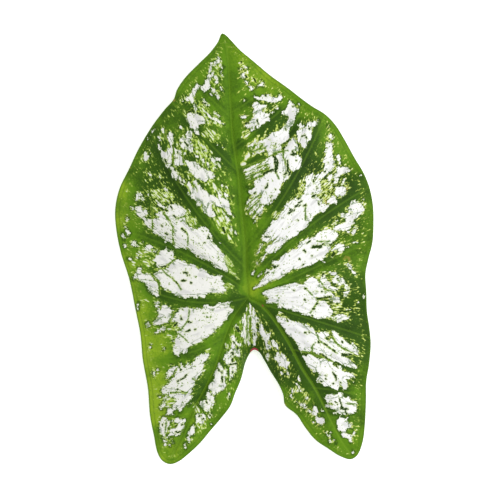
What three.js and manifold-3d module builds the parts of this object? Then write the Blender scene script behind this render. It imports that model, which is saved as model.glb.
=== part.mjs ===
// One caladium leaf, cut from its plant and laid on a table with its upper face up.
// Millimetres, +Z up, +Y towards the leaf's tip. The origin is on the table, under the
// middle of the leaf's box. The blade arches over its veins and touches the table only at
// its tip and at the ends of its two basal lobes.

import * as THREE from 'three';
import * as BufferGeometryUtils from 'three/addons/utils/BufferGeometryUtils.js';
import Module from 'manifold-3d';

// Driving sizes
const LEAF_LENGTH = 250;
const BLADE_THICKNESS = 0.85;
const JUNCTION_HEIGHT = 11.5;
const ARCH_BOW = 4;
const ARCH_POWER = 2.2;

// How far each of the three ends would sink if the table weren't there, and over what span
const TIP_PRESS = 1.7;
const TIP_PRESS_SPAN = 11;
const TIP_PRESS_POWER = 14;

// Rise of the blade between a main vein and the margin, as a share of the distance
const CREST_SHARE = 0.095;
const CREST_SKEW = 0.85;
const CREST_END_POWER = 6;

// The margin: its height, how fast it rises from the three ends, and its waves
const MARGIN_HEIGHT = 5.2;
const MARGIN_RISE_SPAN = 70;
const MARGIN_LIFT_SLOPE = 0.06;
const MARGIN_LIFT_SPAN = 20;
const WAVE_HEIGHT = 2.1;
const WAVE_LENGTH = 56;
const SMALL_WAVE_HEIGHT = 0.7;
const SMALL_WAVE_LENGTH = 23;
const SMALL_WAVE_PHASE = 1;

// Swelling of the blade between neighbouring side veins
const QUILT_HEIGHT = 1.3;
const QUILT_FULL_GAP = 26;
const QUILT_FULLNESS = 0.8;

// Veins on the underside
const MAIN_RIB_DEPTH = 1.9;
const MAIN_RIB_WIDTH = 2.1;
const MAIN_RIB_TAPER = 0.75;
const SIDE_RIB_DEPTH = 0.9;
const SIDE_RIB_TAPER = 0.7;
const COLLAR_DEPTH = 1.1;
const COLLAR_WIDTH = 4.5;

// Cut end of the leaf stalk, from the junction down and back under the blade
const STALK_RADIUS = 2.1;
const STALK_SIDES = 12;
const STALK_STEPS = 10;
const STALK_ROUTE = [[0, 0, 0.1], [0, -0.7, -2], [0.1, -3.6, -4.7], [0.4, -8.8, -6.3], [0.8, -15.5, -7.2]];

// Fineness of the mesh
const COLUMN_STEP = 4.7;
const ROWS = 10;
const ROW_POWER = 1.25;
const MARGIN_SAMPLES = 4000;
const VEIN_SAMPLES = 400;

// The leaf's plan. Its points are placed by eye in chart units, x to the right and y down
// the leaf, and the leaf's length gives the millimetres in one unit.
const CHART_TIP_Y = 33;
const CHART_LOBE_Y = 464.3;
const CHART_UNIT = LEAF_LENGTH / (CHART_LOBE_Y - CHART_TIP_Y);

// Margin, clockwise from the tip: right side, right lobe, sinus, left lobe, left side
const MARGIN_POINTS = [
  [222, 33], [226, 35], [230, 39], [240, 50], [250, 58.5], [260, 67], [270, 75.3], [280, 82.6],
  [290, 90], [300, 98], [312, 107], [325, 115], [335, 125], [345, 141], [355, 159], [363, 173],
  [369, 188], [372.3, 204], [373.3, 226], [372.3, 242], [368, 259], [365, 274], [365.8, 292],
  [366.8, 312], [369, 327], [370.5, 344], [368.6, 364], [366, 380], [365.8, 402], [364.8, 426],
  [362.5, 443], [357.5, 455.5], [351, 459.6], [341, 456.8], [328, 448.5], [315.5, 439.8],
  [305, 427], [297, 415], [285, 404.5], [283, 394], [279, 384.5], [270.5, 371], [264, 359.5],
  [259, 351.8], [254, 349.6], [250.3, 352.5], [245.5, 362], [241, 378.5], [235, 393],
  [230.5, 405], [221, 418], [210, 431], [200, 443], [187, 455.2], [178, 462], [170, 464.5],
  [162.5, 461.3], [157.5, 453], [154, 436], [150, 415], [148.2, 388], [143.3, 360],
  [140.5, 334], [135.5, 308], [129.5, 278], [121, 252], [116.3, 228], [115.5, 210],
  [120, 189], [130, 168], [140, 146.5], [152, 127], [165, 109.8], [174, 99.5], [177, 90.5],
  [185, 78], [200, 62.5], [210, 52.5], [218, 41.5],
];

// Main veins from the junction outwards: midrib, right and left basal veins
const JUNCTION = [248.5, 297];
const MIDRIB_POINTS = [
  JUNCTION, [246, 271], [245, 243], [242, 215], [239, 180], [236, 160], [233, 140],
  [231.5, 120], [229.8, 90], [228.6, 65], [226, 43],
];
const RIGHT_BASAL_POINTS = [
  JUNCTION, [259, 302.5], [270, 314], [286, 338], [301, 366], [315, 388], [327, 412],
  [339, 436], [350, 454],
];
const LEFT_BASAL_POINTS = [
  JUNCTION, [242, 305], [233, 318.5], [224, 341], [217, 363], [207, 384], [196, 404],
  [186, 424], [179, 441], [172, 455],
];

// Guide lines from a main vein to the margin, from the junction outwards. Each has its
// start, the point it bows through and its end; a vein runs along it where vein is true.
const VEIN = true;
const PLAIN = false;
const SIDE_GUIDES = {
  midribRight: [
    [JUNCTION, [298, 275], [372.3, 240], VEIN],
    [[247.3, 286], [302, 232], [369.5, 187], VEIN],
    [[245.5, 250], [290, 186], [325, 115], VEIN],
    [[238, 168], [277, 147], [305, 101.5], VEIN],
    [[234, 148], [268, 122], [297, 95.5], VEIN],
    [[231, 113], [252, 99], [272, 77], VEIN],
    [[229, 72], [240, 63], [252, 60], PLAIN],
    [[226, 43], [230, 43], [234, 43.5], PLAIN],
  ],
  rightOuter: [
    [JUNCTION, [298, 275], [372.3, 240], VEIN],
    [[259, 302.5], [312, 319], [370.5, 338], VEIN],
    [[292, 349], [328, 357], [368, 374], VEIN],
    [[314, 387], [338, 390], [365.8, 397], VEIN],
    [[325, 409], [344, 414], [365, 422], VEIN],
    [[350, 454], [356, 449], [362.5, 443], PLAIN],
  ],
  rightInner: [
    [JUNCTION, [252, 323], [255.5, 349.8], PLAIN],
    [[259, 302.5], [263, 334], [266, 363], PLAIN],
    [[293, 351], [287, 369], [280, 387], PLAIN],
    [[315, 389], [306, 402], [297, 415], PLAIN],
    [[333, 424], [324, 430], [313, 437], PLAIN],
    [[350, 454], [345, 455.5], [340, 456.3], PLAIN],
  ],
  leftInner: [
    [JUNCTION, [250, 323], [253, 349.8], PLAIN],
    [[240, 307.5], [243, 337], [244.5, 365], PLAIN],
    [[219, 357], [226, 376], [233, 397], PLAIN],
    [[207, 384], [214, 399], [222, 417], PLAIN],
    [[189, 417], [196, 428], [204, 438], PLAIN],
    [[172, 455], [176, 458], [181, 460], PLAIN],
  ],
  leftOuter: [
    [JUNCTION, [190, 301], [130, 281], VEIN],
    [[226, 335], [186, 353], [143.2, 358], VEIN],
    [[199, 398], [176, 411], [149.8, 412], VEIN],
    [[184, 428], [169, 434], [153, 431], PLAIN],
    [[172, 455], [165, 455], [158, 454], PLAIN],
  ],
  midribLeft: [
    [JUNCTION, [190, 301], [130, 281], VEIN],
    [[247.5, 291], [188, 255], [116.5, 228], VEIN],
    [[246, 268], [191, 204], [150, 130], VEIN],
    [[238, 172], [205, 139], [172, 102], VEIN],
    [[231, 118], [210, 98], [188, 74.5], VEIN],
    [[229, 72], [219, 61], [207, 55.5], PLAIN],
    [[226, 43], [220, 43], [215.5, 45], PLAIN],
  ],
};

const LEAF_GREEN = '#5a8f2b';

/** A chart point in millimetres, y turned up the leaf. */
function place([x, y]) {
  return new THREE.Vector3(x * CHART_UNIT, -y * CHART_UNIT, 0);
}

/** Smooth step from 0 to 1 as x goes from 0 to 1. */
function ease(x) {
  return THREE.MathUtils.smoothstep(x, 0, 1);
}

const marginCurve = new THREE.CatmullRomCurve3(MARGIN_POINTS.map(place), true, 'centripetal');
marginCurve.arcLengthDivisions = MARGIN_SAMPLES;
const marginLength = marginCurve.getLength();
const marginSamples = marginCurve.getSpacedPoints(MARGIN_SAMPLES);

/** Distance along the margin, clockwise from the tip, of the margin's point nearest to a place. */
function marginDistance(target) {
  let nearest = 0;
  for (let i = 1; i < MARGIN_SAMPLES; i += 1) {
    if (marginSamples[i].distanceTo(target) < marginSamples[nearest].distanceTo(target)) {
      nearest = i;
    }
  }
  return (nearest / MARGIN_SAMPLES) * marginLength;
}

/** The margin's point at a distance along it. */
function marginPoint(distance) {
  const turn = distance / marginLength;
  return marginCurve.getPointAt(turn - Math.floor(turn));
}

const LOBE_ENDS = [
  0,
  marginDistance(place([352, 459])),
  marginDistance(place([169, 464.4])),
  marginLength,
];

/** Height of the blade's underside along a main vein, from the junction (0) to its end (1). */
function veinHeight(t) {
  const arch = JUNCTION_HEIGHT * (1 - t ** ARCH_POWER) + ARCH_BOW * Math.sin(Math.PI * t);
  return arch - TIP_PRESS * t ** TIP_PRESS_POWER;
}

/** Height of the blade's underside at the margin: low at the three ends, waved between them. */
function marginHeight(distance) {
  const fromEnd = Math.min(...LOBE_ENDS.map((end) => Math.abs(distance - end)));
  const wave = WAVE_HEIGHT * Math.sin((2 * Math.PI * distance) / WAVE_LENGTH)
    + SMALL_WAVE_HEIGHT * Math.sin((2 * Math.PI * distance) / SMALL_WAVE_LENGTH + SMALL_WAVE_PHASE);
  const lift = MARGIN_LIFT_SLOPE * Math.min(fromEnd, MARGIN_LIFT_SPAN);
  const press = TIP_PRESS * Math.max(0, 1 - fromEnd / TIP_PRESS_SPAN) ** 2;
  return (MARGIN_HEIGHT + wave) * ease(fromEnd / MARGIN_RISE_SPAN) + lift - press;
}

/** A main vein as a curve through its points, with its length and even samples of it. */
function mainVein(points) {
  const curve = new THREE.CatmullRomCurve3(points.map(place), false, 'centripetal');
  return { curve, length: curve.getLength(), samples: curve.getSpacedPoints(VEIN_SAMPLES) };
}

/** Share of a main vein's length at its point nearest to a place. */
function shareAlong(vein, target) {
  let nearest = 0;
  vein.samples.forEach((sample, i) => {
    if (sample.distanceTo(target) < vein.samples[nearest].distanceTo(target)) {
      nearest = i;
    }
  });
  return nearest / (vein.samples.length - 1);
}

/** One side of a main vein: its guides with margin distance, and bow along and across the chord. */
function veinSide(vein, guides) {
  return guides.map(([start, bow, end, isVein]) => {
    const from = place(start);
    const to = place(end);
    const chord = to.clone().sub(from);
    const off = place(bow).sub(from.clone().lerp(to, 0.5));
    const square = chord.lengthSq();
    return {
      share: shareAlong(vein, from),
      margin: marginDistance(to),
      along: (off.x * chord.x + off.y * chord.y) / square,
      across: (off.y * chord.x - off.x * chord.y) / square,
      isVein,
    };
  });
}

/** A guide value at a share of the vein's length, straight between the guides on either side. */
function guideValue(side, share, key) {
  const next = Math.max(1, side.findIndex((guide) => guide.share >= share));
  const low = side[next - 1];
  const high = side[next];
  return THREE.MathUtils.mapLinear(share, low.share, high.share, low[key], high[key]);
}

/** Places along a main vein, closer together where the margins it feeds are long. */
function spineShares(vein, sides) {
  const load = [0];
  for (let i = 1; i <= VEIN_SAMPLES; i += 1) {
    const reach = sides.map((side) => Math.abs(
      guideValue(side, i / VEIN_SAMPLES, 'margin') - guideValue(side, (i - 1) / VEIN_SAMPLES, 'margin'),
    ));
    load.push(load[i - 1] + Math.max(vein.length / VEIN_SAMPLES, ...reach));
  }
  const count = Math.round(load[VEIN_SAMPLES] / COLUMN_STEP);
  const shares = [];
  for (let k = 0; k <= count; k += 1) {
    const wanted = (k / count) * load[VEIN_SAMPLES];
    const after = Math.max(1, load.findIndex((value) => value >= wanted - 1e-9));
    const step = THREE.MathUtils.mapLinear(wanted, load[after - 1], load[after], after - 1, after);
    shares.push(Math.min(1, step / VEIN_SAMPLES));
  }
  return shares;
}

/** Columns on one side of a main vein, from the junction outwards, with its ribs and swellings. */
function sideColumns(name, shares, side) {
  const columns = shares.map((share, i) => ({
    vein: name,
    spine: i === 0 ? 'junction' : `${name}-${i}`,
    share,
    margin: guideValue(side, share, 'margin'),
    along: guideValue(side, share, 'along'),
    across: guideValue(side, share, 'across'),
    rib: 0,
    quilt: 0,
  }));
  const marks = side.filter((guide) => guide.isVein).map((guide) => {
    const gaps = shares.map((share) => Math.abs(share - guide.share));
    return gaps.indexOf(Math.min(...gaps));
  });
  marks.forEach((mark, order) => {
    columns[mark].rib = 1;
    const next = marks[order + 1];
    const gap = next === undefined ? 0 : Math.abs(columns[next].margin - columns[mark].margin);
    for (let k = mark; k < next; k += 1) {
      const swell = Math.sin((Math.PI * (k - mark)) / (next - mark));
      columns[k].quilt = swell * Math.min(1, gap / QUILT_FULL_GAP);
    }
  });
  return columns;
}

/** Columns that fan from one spine point between two neighbouring columns' margin places. */
function fanColumns(from, to) {
  const span = to.margin - from.margin;
  const count = Math.max(2, Math.round(span / COLUMN_STEP));
  const columns = [];
  for (let k = 1; k < count; k += 1) {
    columns.push({
      ...from,
      margin: from.margin + (span * k) / count,
      along: 0,
      across: THREE.MathUtils.lerp(from.across, to.across, k / count),
      rib: 0,
      quilt: 0,
    });
  }
  return columns;
}

/** All columns in one clockwise walk round the main veins, starting left of the midrib's tip. */
function walkColumns(veins) {
  const sides = {};
  for (const [name, vein] of Object.entries(veins)) {
    const [first, second] = vein.sideNames;
    const firstSide = veinSide(vein, SIDE_GUIDES[first]);
    const secondSide = veinSide(vein, SIDE_GUIDES[second]);
    if (name === 'midrib') {
      secondSide.forEach((guide) => { guide.margin -= marginLength; });
    }
    const shares = spineShares(vein, [firstSide, secondSide]);
    sides[first] = sideColumns(name, shares, firstSide);
    sides[second] = sideColumns(name, shares, secondSide);
  }
  const walk = [
    ...fanColumns(sides.midribLeft.at(-1), sides.midribRight.at(-1)),
    ...sides.midribRight.toReversed(),
    ...sides.rightOuter.slice(1),
    ...fanColumns(sides.rightOuter.at(-1), sides.rightInner.at(-1)),
    ...sides.rightInner.toReversed(),
    ...fanColumns(sides.rightInner[0], sides.leftInner[0]),
    ...sides.leftInner,
    ...fanColumns(sides.leftInner.at(-1), sides.leftOuter.at(-1)),
    ...sides.leftOuter.toReversed(),
    ...sides.midribLeft.slice(1),
  ];
  return walk.map((column) => {
    const start = veins[column.vein].curve.getPointAt(column.share);
    const end = marginPoint(column.margin);
    const chord = end.clone().sub(start);
    const bow = new THREE.Vector3(
      chord.x * column.along - chord.y * column.across,
      chord.y * column.along + chord.x * column.across,
      0,
    );
    const middle = start.clone().lerp(end, 0.5).addScaledVector(bow, 2);
    return { ...column, start, line: new THREE.QuadraticBezierCurve3(start, middle, end) };
  });
}

/** Heights of the blade's two faces on a column, at a share of the way to the margin. */
function faceHeights(column, share) {
  const turn = ((column.margin % marginLength) + marginLength) % marginLength;
  const reach = column.line.v0.distanceTo(column.line.v2);
  const from = veinHeight(column.share);
  const to = marginHeight(turn);
  const crest = CREST_SHARE * reach * Math.sin(Math.PI * share ** CREST_SKEW)
    * (1 - column.share ** CREST_END_POWER);
  const quilt = QUILT_HEIGHT * column.quilt * Math.sin(Math.PI * share) ** QUILT_FULLNESS;
  const body = THREE.MathUtils.lerp(from, to, ease(share)) + crest + quilt;
  const distance = share * reach;
  const fromJunction = column.line.getPoint(share).distanceTo(place(JUNCTION));
  const mainRib = MAIN_RIB_DEPTH * (1 - MAIN_RIB_TAPER * column.share)
    * Math.exp(-((distance / MAIN_RIB_WIDTH) ** 2));
  const sideRib = SIDE_RIB_DEPTH * column.rib * (1 - share) ** SIDE_RIB_TAPER
    * ease(distance / MAIN_RIB_WIDTH);
  const collar = COLLAR_DEPTH * Math.exp(-((fromJunction / COLLAR_WIDTH) ** 2));
  const ribs = mainRib + sideRib + collar;
  return { upper: Math.max(0, body) + BLADE_THICKNESS, under: Math.max(0, body - ribs) };
}

/** The blade as one closed body: upper and lower faces split into the same triangles, and a rim. */
function bladeGeometry(veins) {
  const columns = walkColumns(veins);
  const upper = [];
  const under = [];
  const spineIndex = new Map();
  const addPoint = (column, share) => {
    const point = column.line.getPoint(share);
    const heights = faceHeights(column, share);
    upper.push(point.x, point.y, heights.upper);
    under.push(point.x, point.y, heights.under);
    return upper.length / 3 - 1;
  };
  const grid = columns.map((column) => {
    if (!spineIndex.has(column.spine)) {
      spineIndex.set(column.spine, addPoint(column, 0));
    }
    const places = [spineIndex.get(column.spine)];
    for (let row = 1; row <= ROWS; row += 1) {
      places.push(addPoint(column, (row / ROWS) ** ROW_POWER));
    }
    return places;
  });
  const below = upper.length / 3;
  const triangles = [];
  const addFace = (a, b, c) => {
    if (a !== b && b !== c && c !== a) {
      triangles.push(a, b, c, c + below, b + below, a + below);
    }
  };
  const planGap = (a, b) => Math.hypot(upper[3 * a] - upper[3 * b], upper[3 * a + 1] - upper[3 * b + 1]);
  grid.forEach((here, i) => {
    const next = grid[(i + 1) % grid.length];
    for (let row = 0; row < ROWS; row += 1) {
      const [a, b, c, d] = [here[row], next[row], next[row + 1], here[row + 1]];
      if (planGap(a, c) <= planGap(b, d) || a === b) {
        addFace(a, b, c);
        addFace(a, c, d);
      } else {
        addFace(a, b, d);
        addFace(b, c, d);
      }
    }
    const a = here[ROWS];
    const b = next[ROWS];
    triangles.push(a, b, b + below, a, b + below, a + below);
  });
  const geometry = new THREE.BufferGeometry();
  geometry.setAttribute('position', new THREE.Float32BufferAttribute([...upper, ...under], 3));
  geometry.setIndex(triangles);
  return geometry;
}

/** The cut stalk: a round bar that leaves the junction downwards and bends back under the blade. */
function stalkGeometry() {
  const foot = place(JUNCTION);
  foot.z = JUNCTION_HEIGHT;
  const route = new THREE.CatmullRomCurve3(
    STALK_ROUTE.map(([x, y, z]) => new THREE.Vector3(foot.x + x, foot.y + y, foot.z + z)),
    false,
    'centripetal',
  );
  const section = new THREE.Shape();
  for (let i = 0; i < STALK_SIDES; i += 1) {
    const angle = (2 * Math.PI * i) / STALK_SIDES;
    const corner = [STALK_RADIUS * Math.cos(angle), STALK_RADIUS * Math.sin(angle)];
    if (i === 0) {
      section.moveTo(...corner);
    } else {
      section.lineTo(...corner);
    }
  }
  return new THREE.ExtrudeGeometry(section, { steps: STALK_STEPS, extrudePath: route });
}

/** A closed geometry as a solid that can be joined to others. */
function asSolid(wasm, source) {
  const bare = new THREE.BufferGeometry();
  bare.setAttribute('position', source.getAttribute('position'));
  bare.setIndex(source.getIndex());
  const merged = BufferGeometryUtils.mergeVertices(bare, 1e-4);
  return new wasm.Manifold(new wasm.Mesh({
    numProp: 3,
    vertProperties: new Float32Array(merged.getAttribute('position').array),
    triVerts: new Uint32Array(merged.getIndex().array),
  }));
}

/** A joined solid as a geometry, moved so that the middle of its box is over the origin. */
function asGeometry(solid) {
  const mesh = solid.getMesh();
  const geometry = new THREE.BufferGeometry();
  geometry.setAttribute('position', new THREE.BufferAttribute(mesh.vertProperties, 3));
  geometry.setIndex(new THREE.BufferAttribute(mesh.triVerts, 1));
  geometry.computeBoundingBox();
  const middle = geometry.boundingBox.getCenter(new THREE.Vector3());
  geometry.translate(-middle.x, -middle.y, 0);
  geometry.computeVertexNormals();
  return geometry;
}

const wasm = await Module();
wasm.setup();

const mainVeins = {
  midrib: { ...mainVein(MIDRIB_POINTS), sideNames: ['midribRight', 'midribLeft'] },
  rightBasal: { ...mainVein(RIGHT_BASAL_POINTS), sideNames: ['rightOuter', 'rightInner'] },
  leftBasal: { ...mainVein(LEFT_BASAL_POINTS), sideNames: ['leftInner', 'leftOuter'] },
};

const blade = asSolid(wasm, bladeGeometry(mainVeins));
const stalk = asSolid(wasm, stalkGeometry());

const leaf = new THREE.Mesh(
  asGeometry(blade.add(stalk)),
  new THREE.MeshStandardMaterial({ color: LEAF_GREEN, roughness: 0.5, metalness: 0 }),
);
leaf.name = 'caladium_leaf';

const group = new THREE.Group();
group.add(leaf);

export default group;
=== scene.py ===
"""One caladium leaf, cut from its plant and laid on a table with its upper face up.

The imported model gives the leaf's solid. Here the blade is worked out again from the same plan, only
finer, and gets its veins, its markings and the finishes of its two faces. The cut end of its stalk is
a piece of its own. Plan places are in chart units, x to the right and y down the leaf, and the size
of the leaf in the frame gives the millimetres in one unit. Meshes are made in metres.
"""

import logging
from dataclasses import dataclass, field, fields
from enum import Enum

import bpy
import numpy as np
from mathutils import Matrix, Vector


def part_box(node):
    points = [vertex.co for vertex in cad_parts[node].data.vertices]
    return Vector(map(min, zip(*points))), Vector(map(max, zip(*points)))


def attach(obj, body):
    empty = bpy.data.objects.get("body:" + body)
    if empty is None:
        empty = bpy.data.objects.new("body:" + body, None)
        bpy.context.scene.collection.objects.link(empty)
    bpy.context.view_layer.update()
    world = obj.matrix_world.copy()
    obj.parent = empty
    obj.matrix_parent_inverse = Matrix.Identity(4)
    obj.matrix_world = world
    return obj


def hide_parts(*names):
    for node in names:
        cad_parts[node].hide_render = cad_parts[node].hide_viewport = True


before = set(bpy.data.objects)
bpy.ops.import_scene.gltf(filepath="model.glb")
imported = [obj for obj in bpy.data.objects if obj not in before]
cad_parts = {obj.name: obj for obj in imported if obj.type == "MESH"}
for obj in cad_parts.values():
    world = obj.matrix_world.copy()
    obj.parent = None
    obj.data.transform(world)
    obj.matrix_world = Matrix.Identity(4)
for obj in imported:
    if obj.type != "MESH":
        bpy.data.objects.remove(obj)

log = logging.getLogger("caladium_leaf")
METRES = 0.001
TINY = 1e-12
Place = tuple[float, float]
Chain = tuple[Place, ...]
Colour = tuple[float, float, float, float]
Socket = bpy.types.NodeSocket
Tree = bpy.types.NodeTree
Found = dict[str, Socket]
LEAF_NODE = "caladium_leaf"

# The plan, as in the part's source. Margin, clockwise from the tip: right side, right lobe, sinus,
# left lobe, left side
MARGIN: Chain = (
    (222, 33), (226, 35), (230, 39), (240, 50), (250, 58.5), (260, 67), (270, 75.3), (280, 82.6),
    (290, 90), (300, 98), (312, 107), (325, 115), (335, 125), (345, 141), (355, 159), (363, 173),
    (369, 188), (372.3, 204), (373.3, 226), (372.3, 242), (368, 259), (365, 274), (365.8, 292),
    (366.8, 312), (369, 327), (370.5, 344), (368.6, 364), (366, 380), (365.8, 402), (364.8, 426),
    (362.5, 443), (357.5, 455.5), (351, 459.6), (341, 456.8), (328, 448.5), (315.5, 439.8),
    (305, 427), (297, 415), (285, 404.5), (283, 394), (279, 384.5), (270.5, 371), (264, 359.5),
    (259, 351.8), (254, 349.6), (250.3, 352.5), (245.5, 362), (241, 378.5), (235, 393),
    (230.5, 405), (221, 418), (210, 431), (200, 443), (187, 455.2), (178, 462), (170, 464.5),
    (162.5, 461.3), (157.5, 453), (154, 436), (150, 415), (148.2, 388), (143.3, 360),
    (140.5, 334), (135.5, 308), (129.5, 278), (121, 252), (116.3, 228), (115.5, 210),
    (120, 189), (130, 168), (140, 146.5), (152, 127), (165, 109.8), (174, 99.5), (177, 90.5),
    (185, 78), (200, 62.5), (210, 52.5), (218, 41.5),
)
RIGHT_LOBE_END: Place = (352, 459)
LEFT_LOBE_END: Place = (169, 464.4)
JUNCTION: Place = (248.5, 297)
MIDRIB: Chain = (
    JUNCTION, (246, 271), (245, 243), (242, 215), (239, 180), (236, 160), (233, 140),
    (231.5, 120), (229.8, 90), (228.6, 65), (226, 43),
)
RIGHT_BASAL: Chain = (
    JUNCTION, (259, 302.5), (270, 314), (286, 338), (301, 366), (315, 388), (327, 412),
    (339, 436), (350, 454),
)
LEFT_BASAL: Chain = (
    JUNCTION, (242, 305), (233, 318.5), (224, 341), (217, 363), (207, 384), (196, 404),
    (186, 424), (179, 441), (172, 455),
)


class Flank(Enum):
    """The six sides of the three main veins, clockwise from the tip."""

    MIDRIB_RIGHT = 0
    RIGHT_OUTER = 1
    RIGHT_INNER = 2
    LEFT_INNER = 3
    LEFT_OUTER = 4
    MIDRIB_LEFT = 5


@dataclass(frozen=True)
class Guide:
    """A line from a main vein to the margin: its start, the place it bows through and its end."""

    start: Place
    bow: Place
    end: Place
    is_vein: bool = False

    def line(self, samples: int = 60) -> np.ndarray:
        """Chart points of the guide: a quadratic curve whose control is twice the bow past the chord.

        Args:
            samples: how many points.

        Returns:
            The points, one row each.
        """
        start, bow, end = (np.array(place, float) for place in (self.start, self.bow, self.end))
        control = (start + end) / 2 + 2 * (bow - (start + end) / 2)
        t = np.linspace(0, 1, samples)[:, None]
        return (1 - t) ** 2 * start + 2 * t * (1 - t) * control + t**2 * end


# Guides of each side, from the junction outwards, as in the part's source
GUIDES: dict[Flank, tuple[Guide, ...]] = {
    Flank.MIDRIB_RIGHT: (
        Guide(JUNCTION, (298, 275), (372.3, 240), True),
        Guide((247.3, 286), (302, 232), (369.5, 187), True),
        Guide((245.5, 250), (290, 186), (325, 115), True),
        Guide((238, 168), (277, 147), (305, 101.5), True),
        Guide((234, 148), (268, 122), (297, 95.5), True),
        Guide((231, 113), (252, 99), (272, 77), True),
        Guide((229, 72), (240, 63), (252, 60)),
        Guide((226, 43), (230, 43), (234, 43.5)),
    ),
    Flank.RIGHT_OUTER: (
        Guide(JUNCTION, (298, 275), (372.3, 240), True),
        Guide((259, 302.5), (312, 319), (370.5, 338), True),
        Guide((292, 349), (328, 357), (368, 374), True),
        Guide((314, 387), (338, 390), (365.8, 397), True),
        Guide((325, 409), (344, 414), (365, 422), True),
        Guide((350, 454), (356, 449), (362.5, 443)),
    ),
    Flank.RIGHT_INNER: (
        Guide(JUNCTION, (252, 323), (255.5, 349.8)),
        Guide((259, 302.5), (263, 334), (266, 363)),
        Guide((293, 351), (287, 369), (280, 387)),
        Guide((315, 389), (306, 402), (297, 415)),
        Guide((333, 424), (324, 430), (313, 437)),
        Guide((350, 454), (345, 455.5), (340, 456.3)),
    ),
    Flank.LEFT_INNER: (
        Guide(JUNCTION, (250, 323), (253, 349.8)),
        Guide((240, 307.5), (243, 337), (244.5, 365)),
        Guide((219, 357), (226, 376), (233, 397)),
        Guide((207, 384), (214, 399), (222, 417)),
        Guide((189, 417), (196, 428), (204, 438)),
        Guide((172, 455), (176, 458), (181, 460)),
    ),
    Flank.LEFT_OUTER: (
        Guide(JUNCTION, (190, 301), (130, 281), True),
        Guide((226, 335), (186, 353), (143.2, 358), True),
        Guide((199, 398), (176, 411), (149.8, 412), True),
        Guide((184, 428), (169, 434), (153, 431)),
        Guide((172, 455), (165, 455), (158, 454)),
    ),
    Flank.MIDRIB_LEFT: (
        Guide(JUNCTION, (190, 301), (130, 281), True),
        Guide((247.5, 291), (188, 255), (116.5, 228), True),
        Guide((246, 268), (191, 204), (150, 130), True),
        Guide((238, 172), (205, 139), (172, 102), True),
        Guide((231, 118), (210, 98), (188, 74.5), True),
        Guide((229, 72), (219, 61), (207, 55.5)),
        Guide((226, 43), (220, 43), (215.5, 45)),
    ),
}

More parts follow.
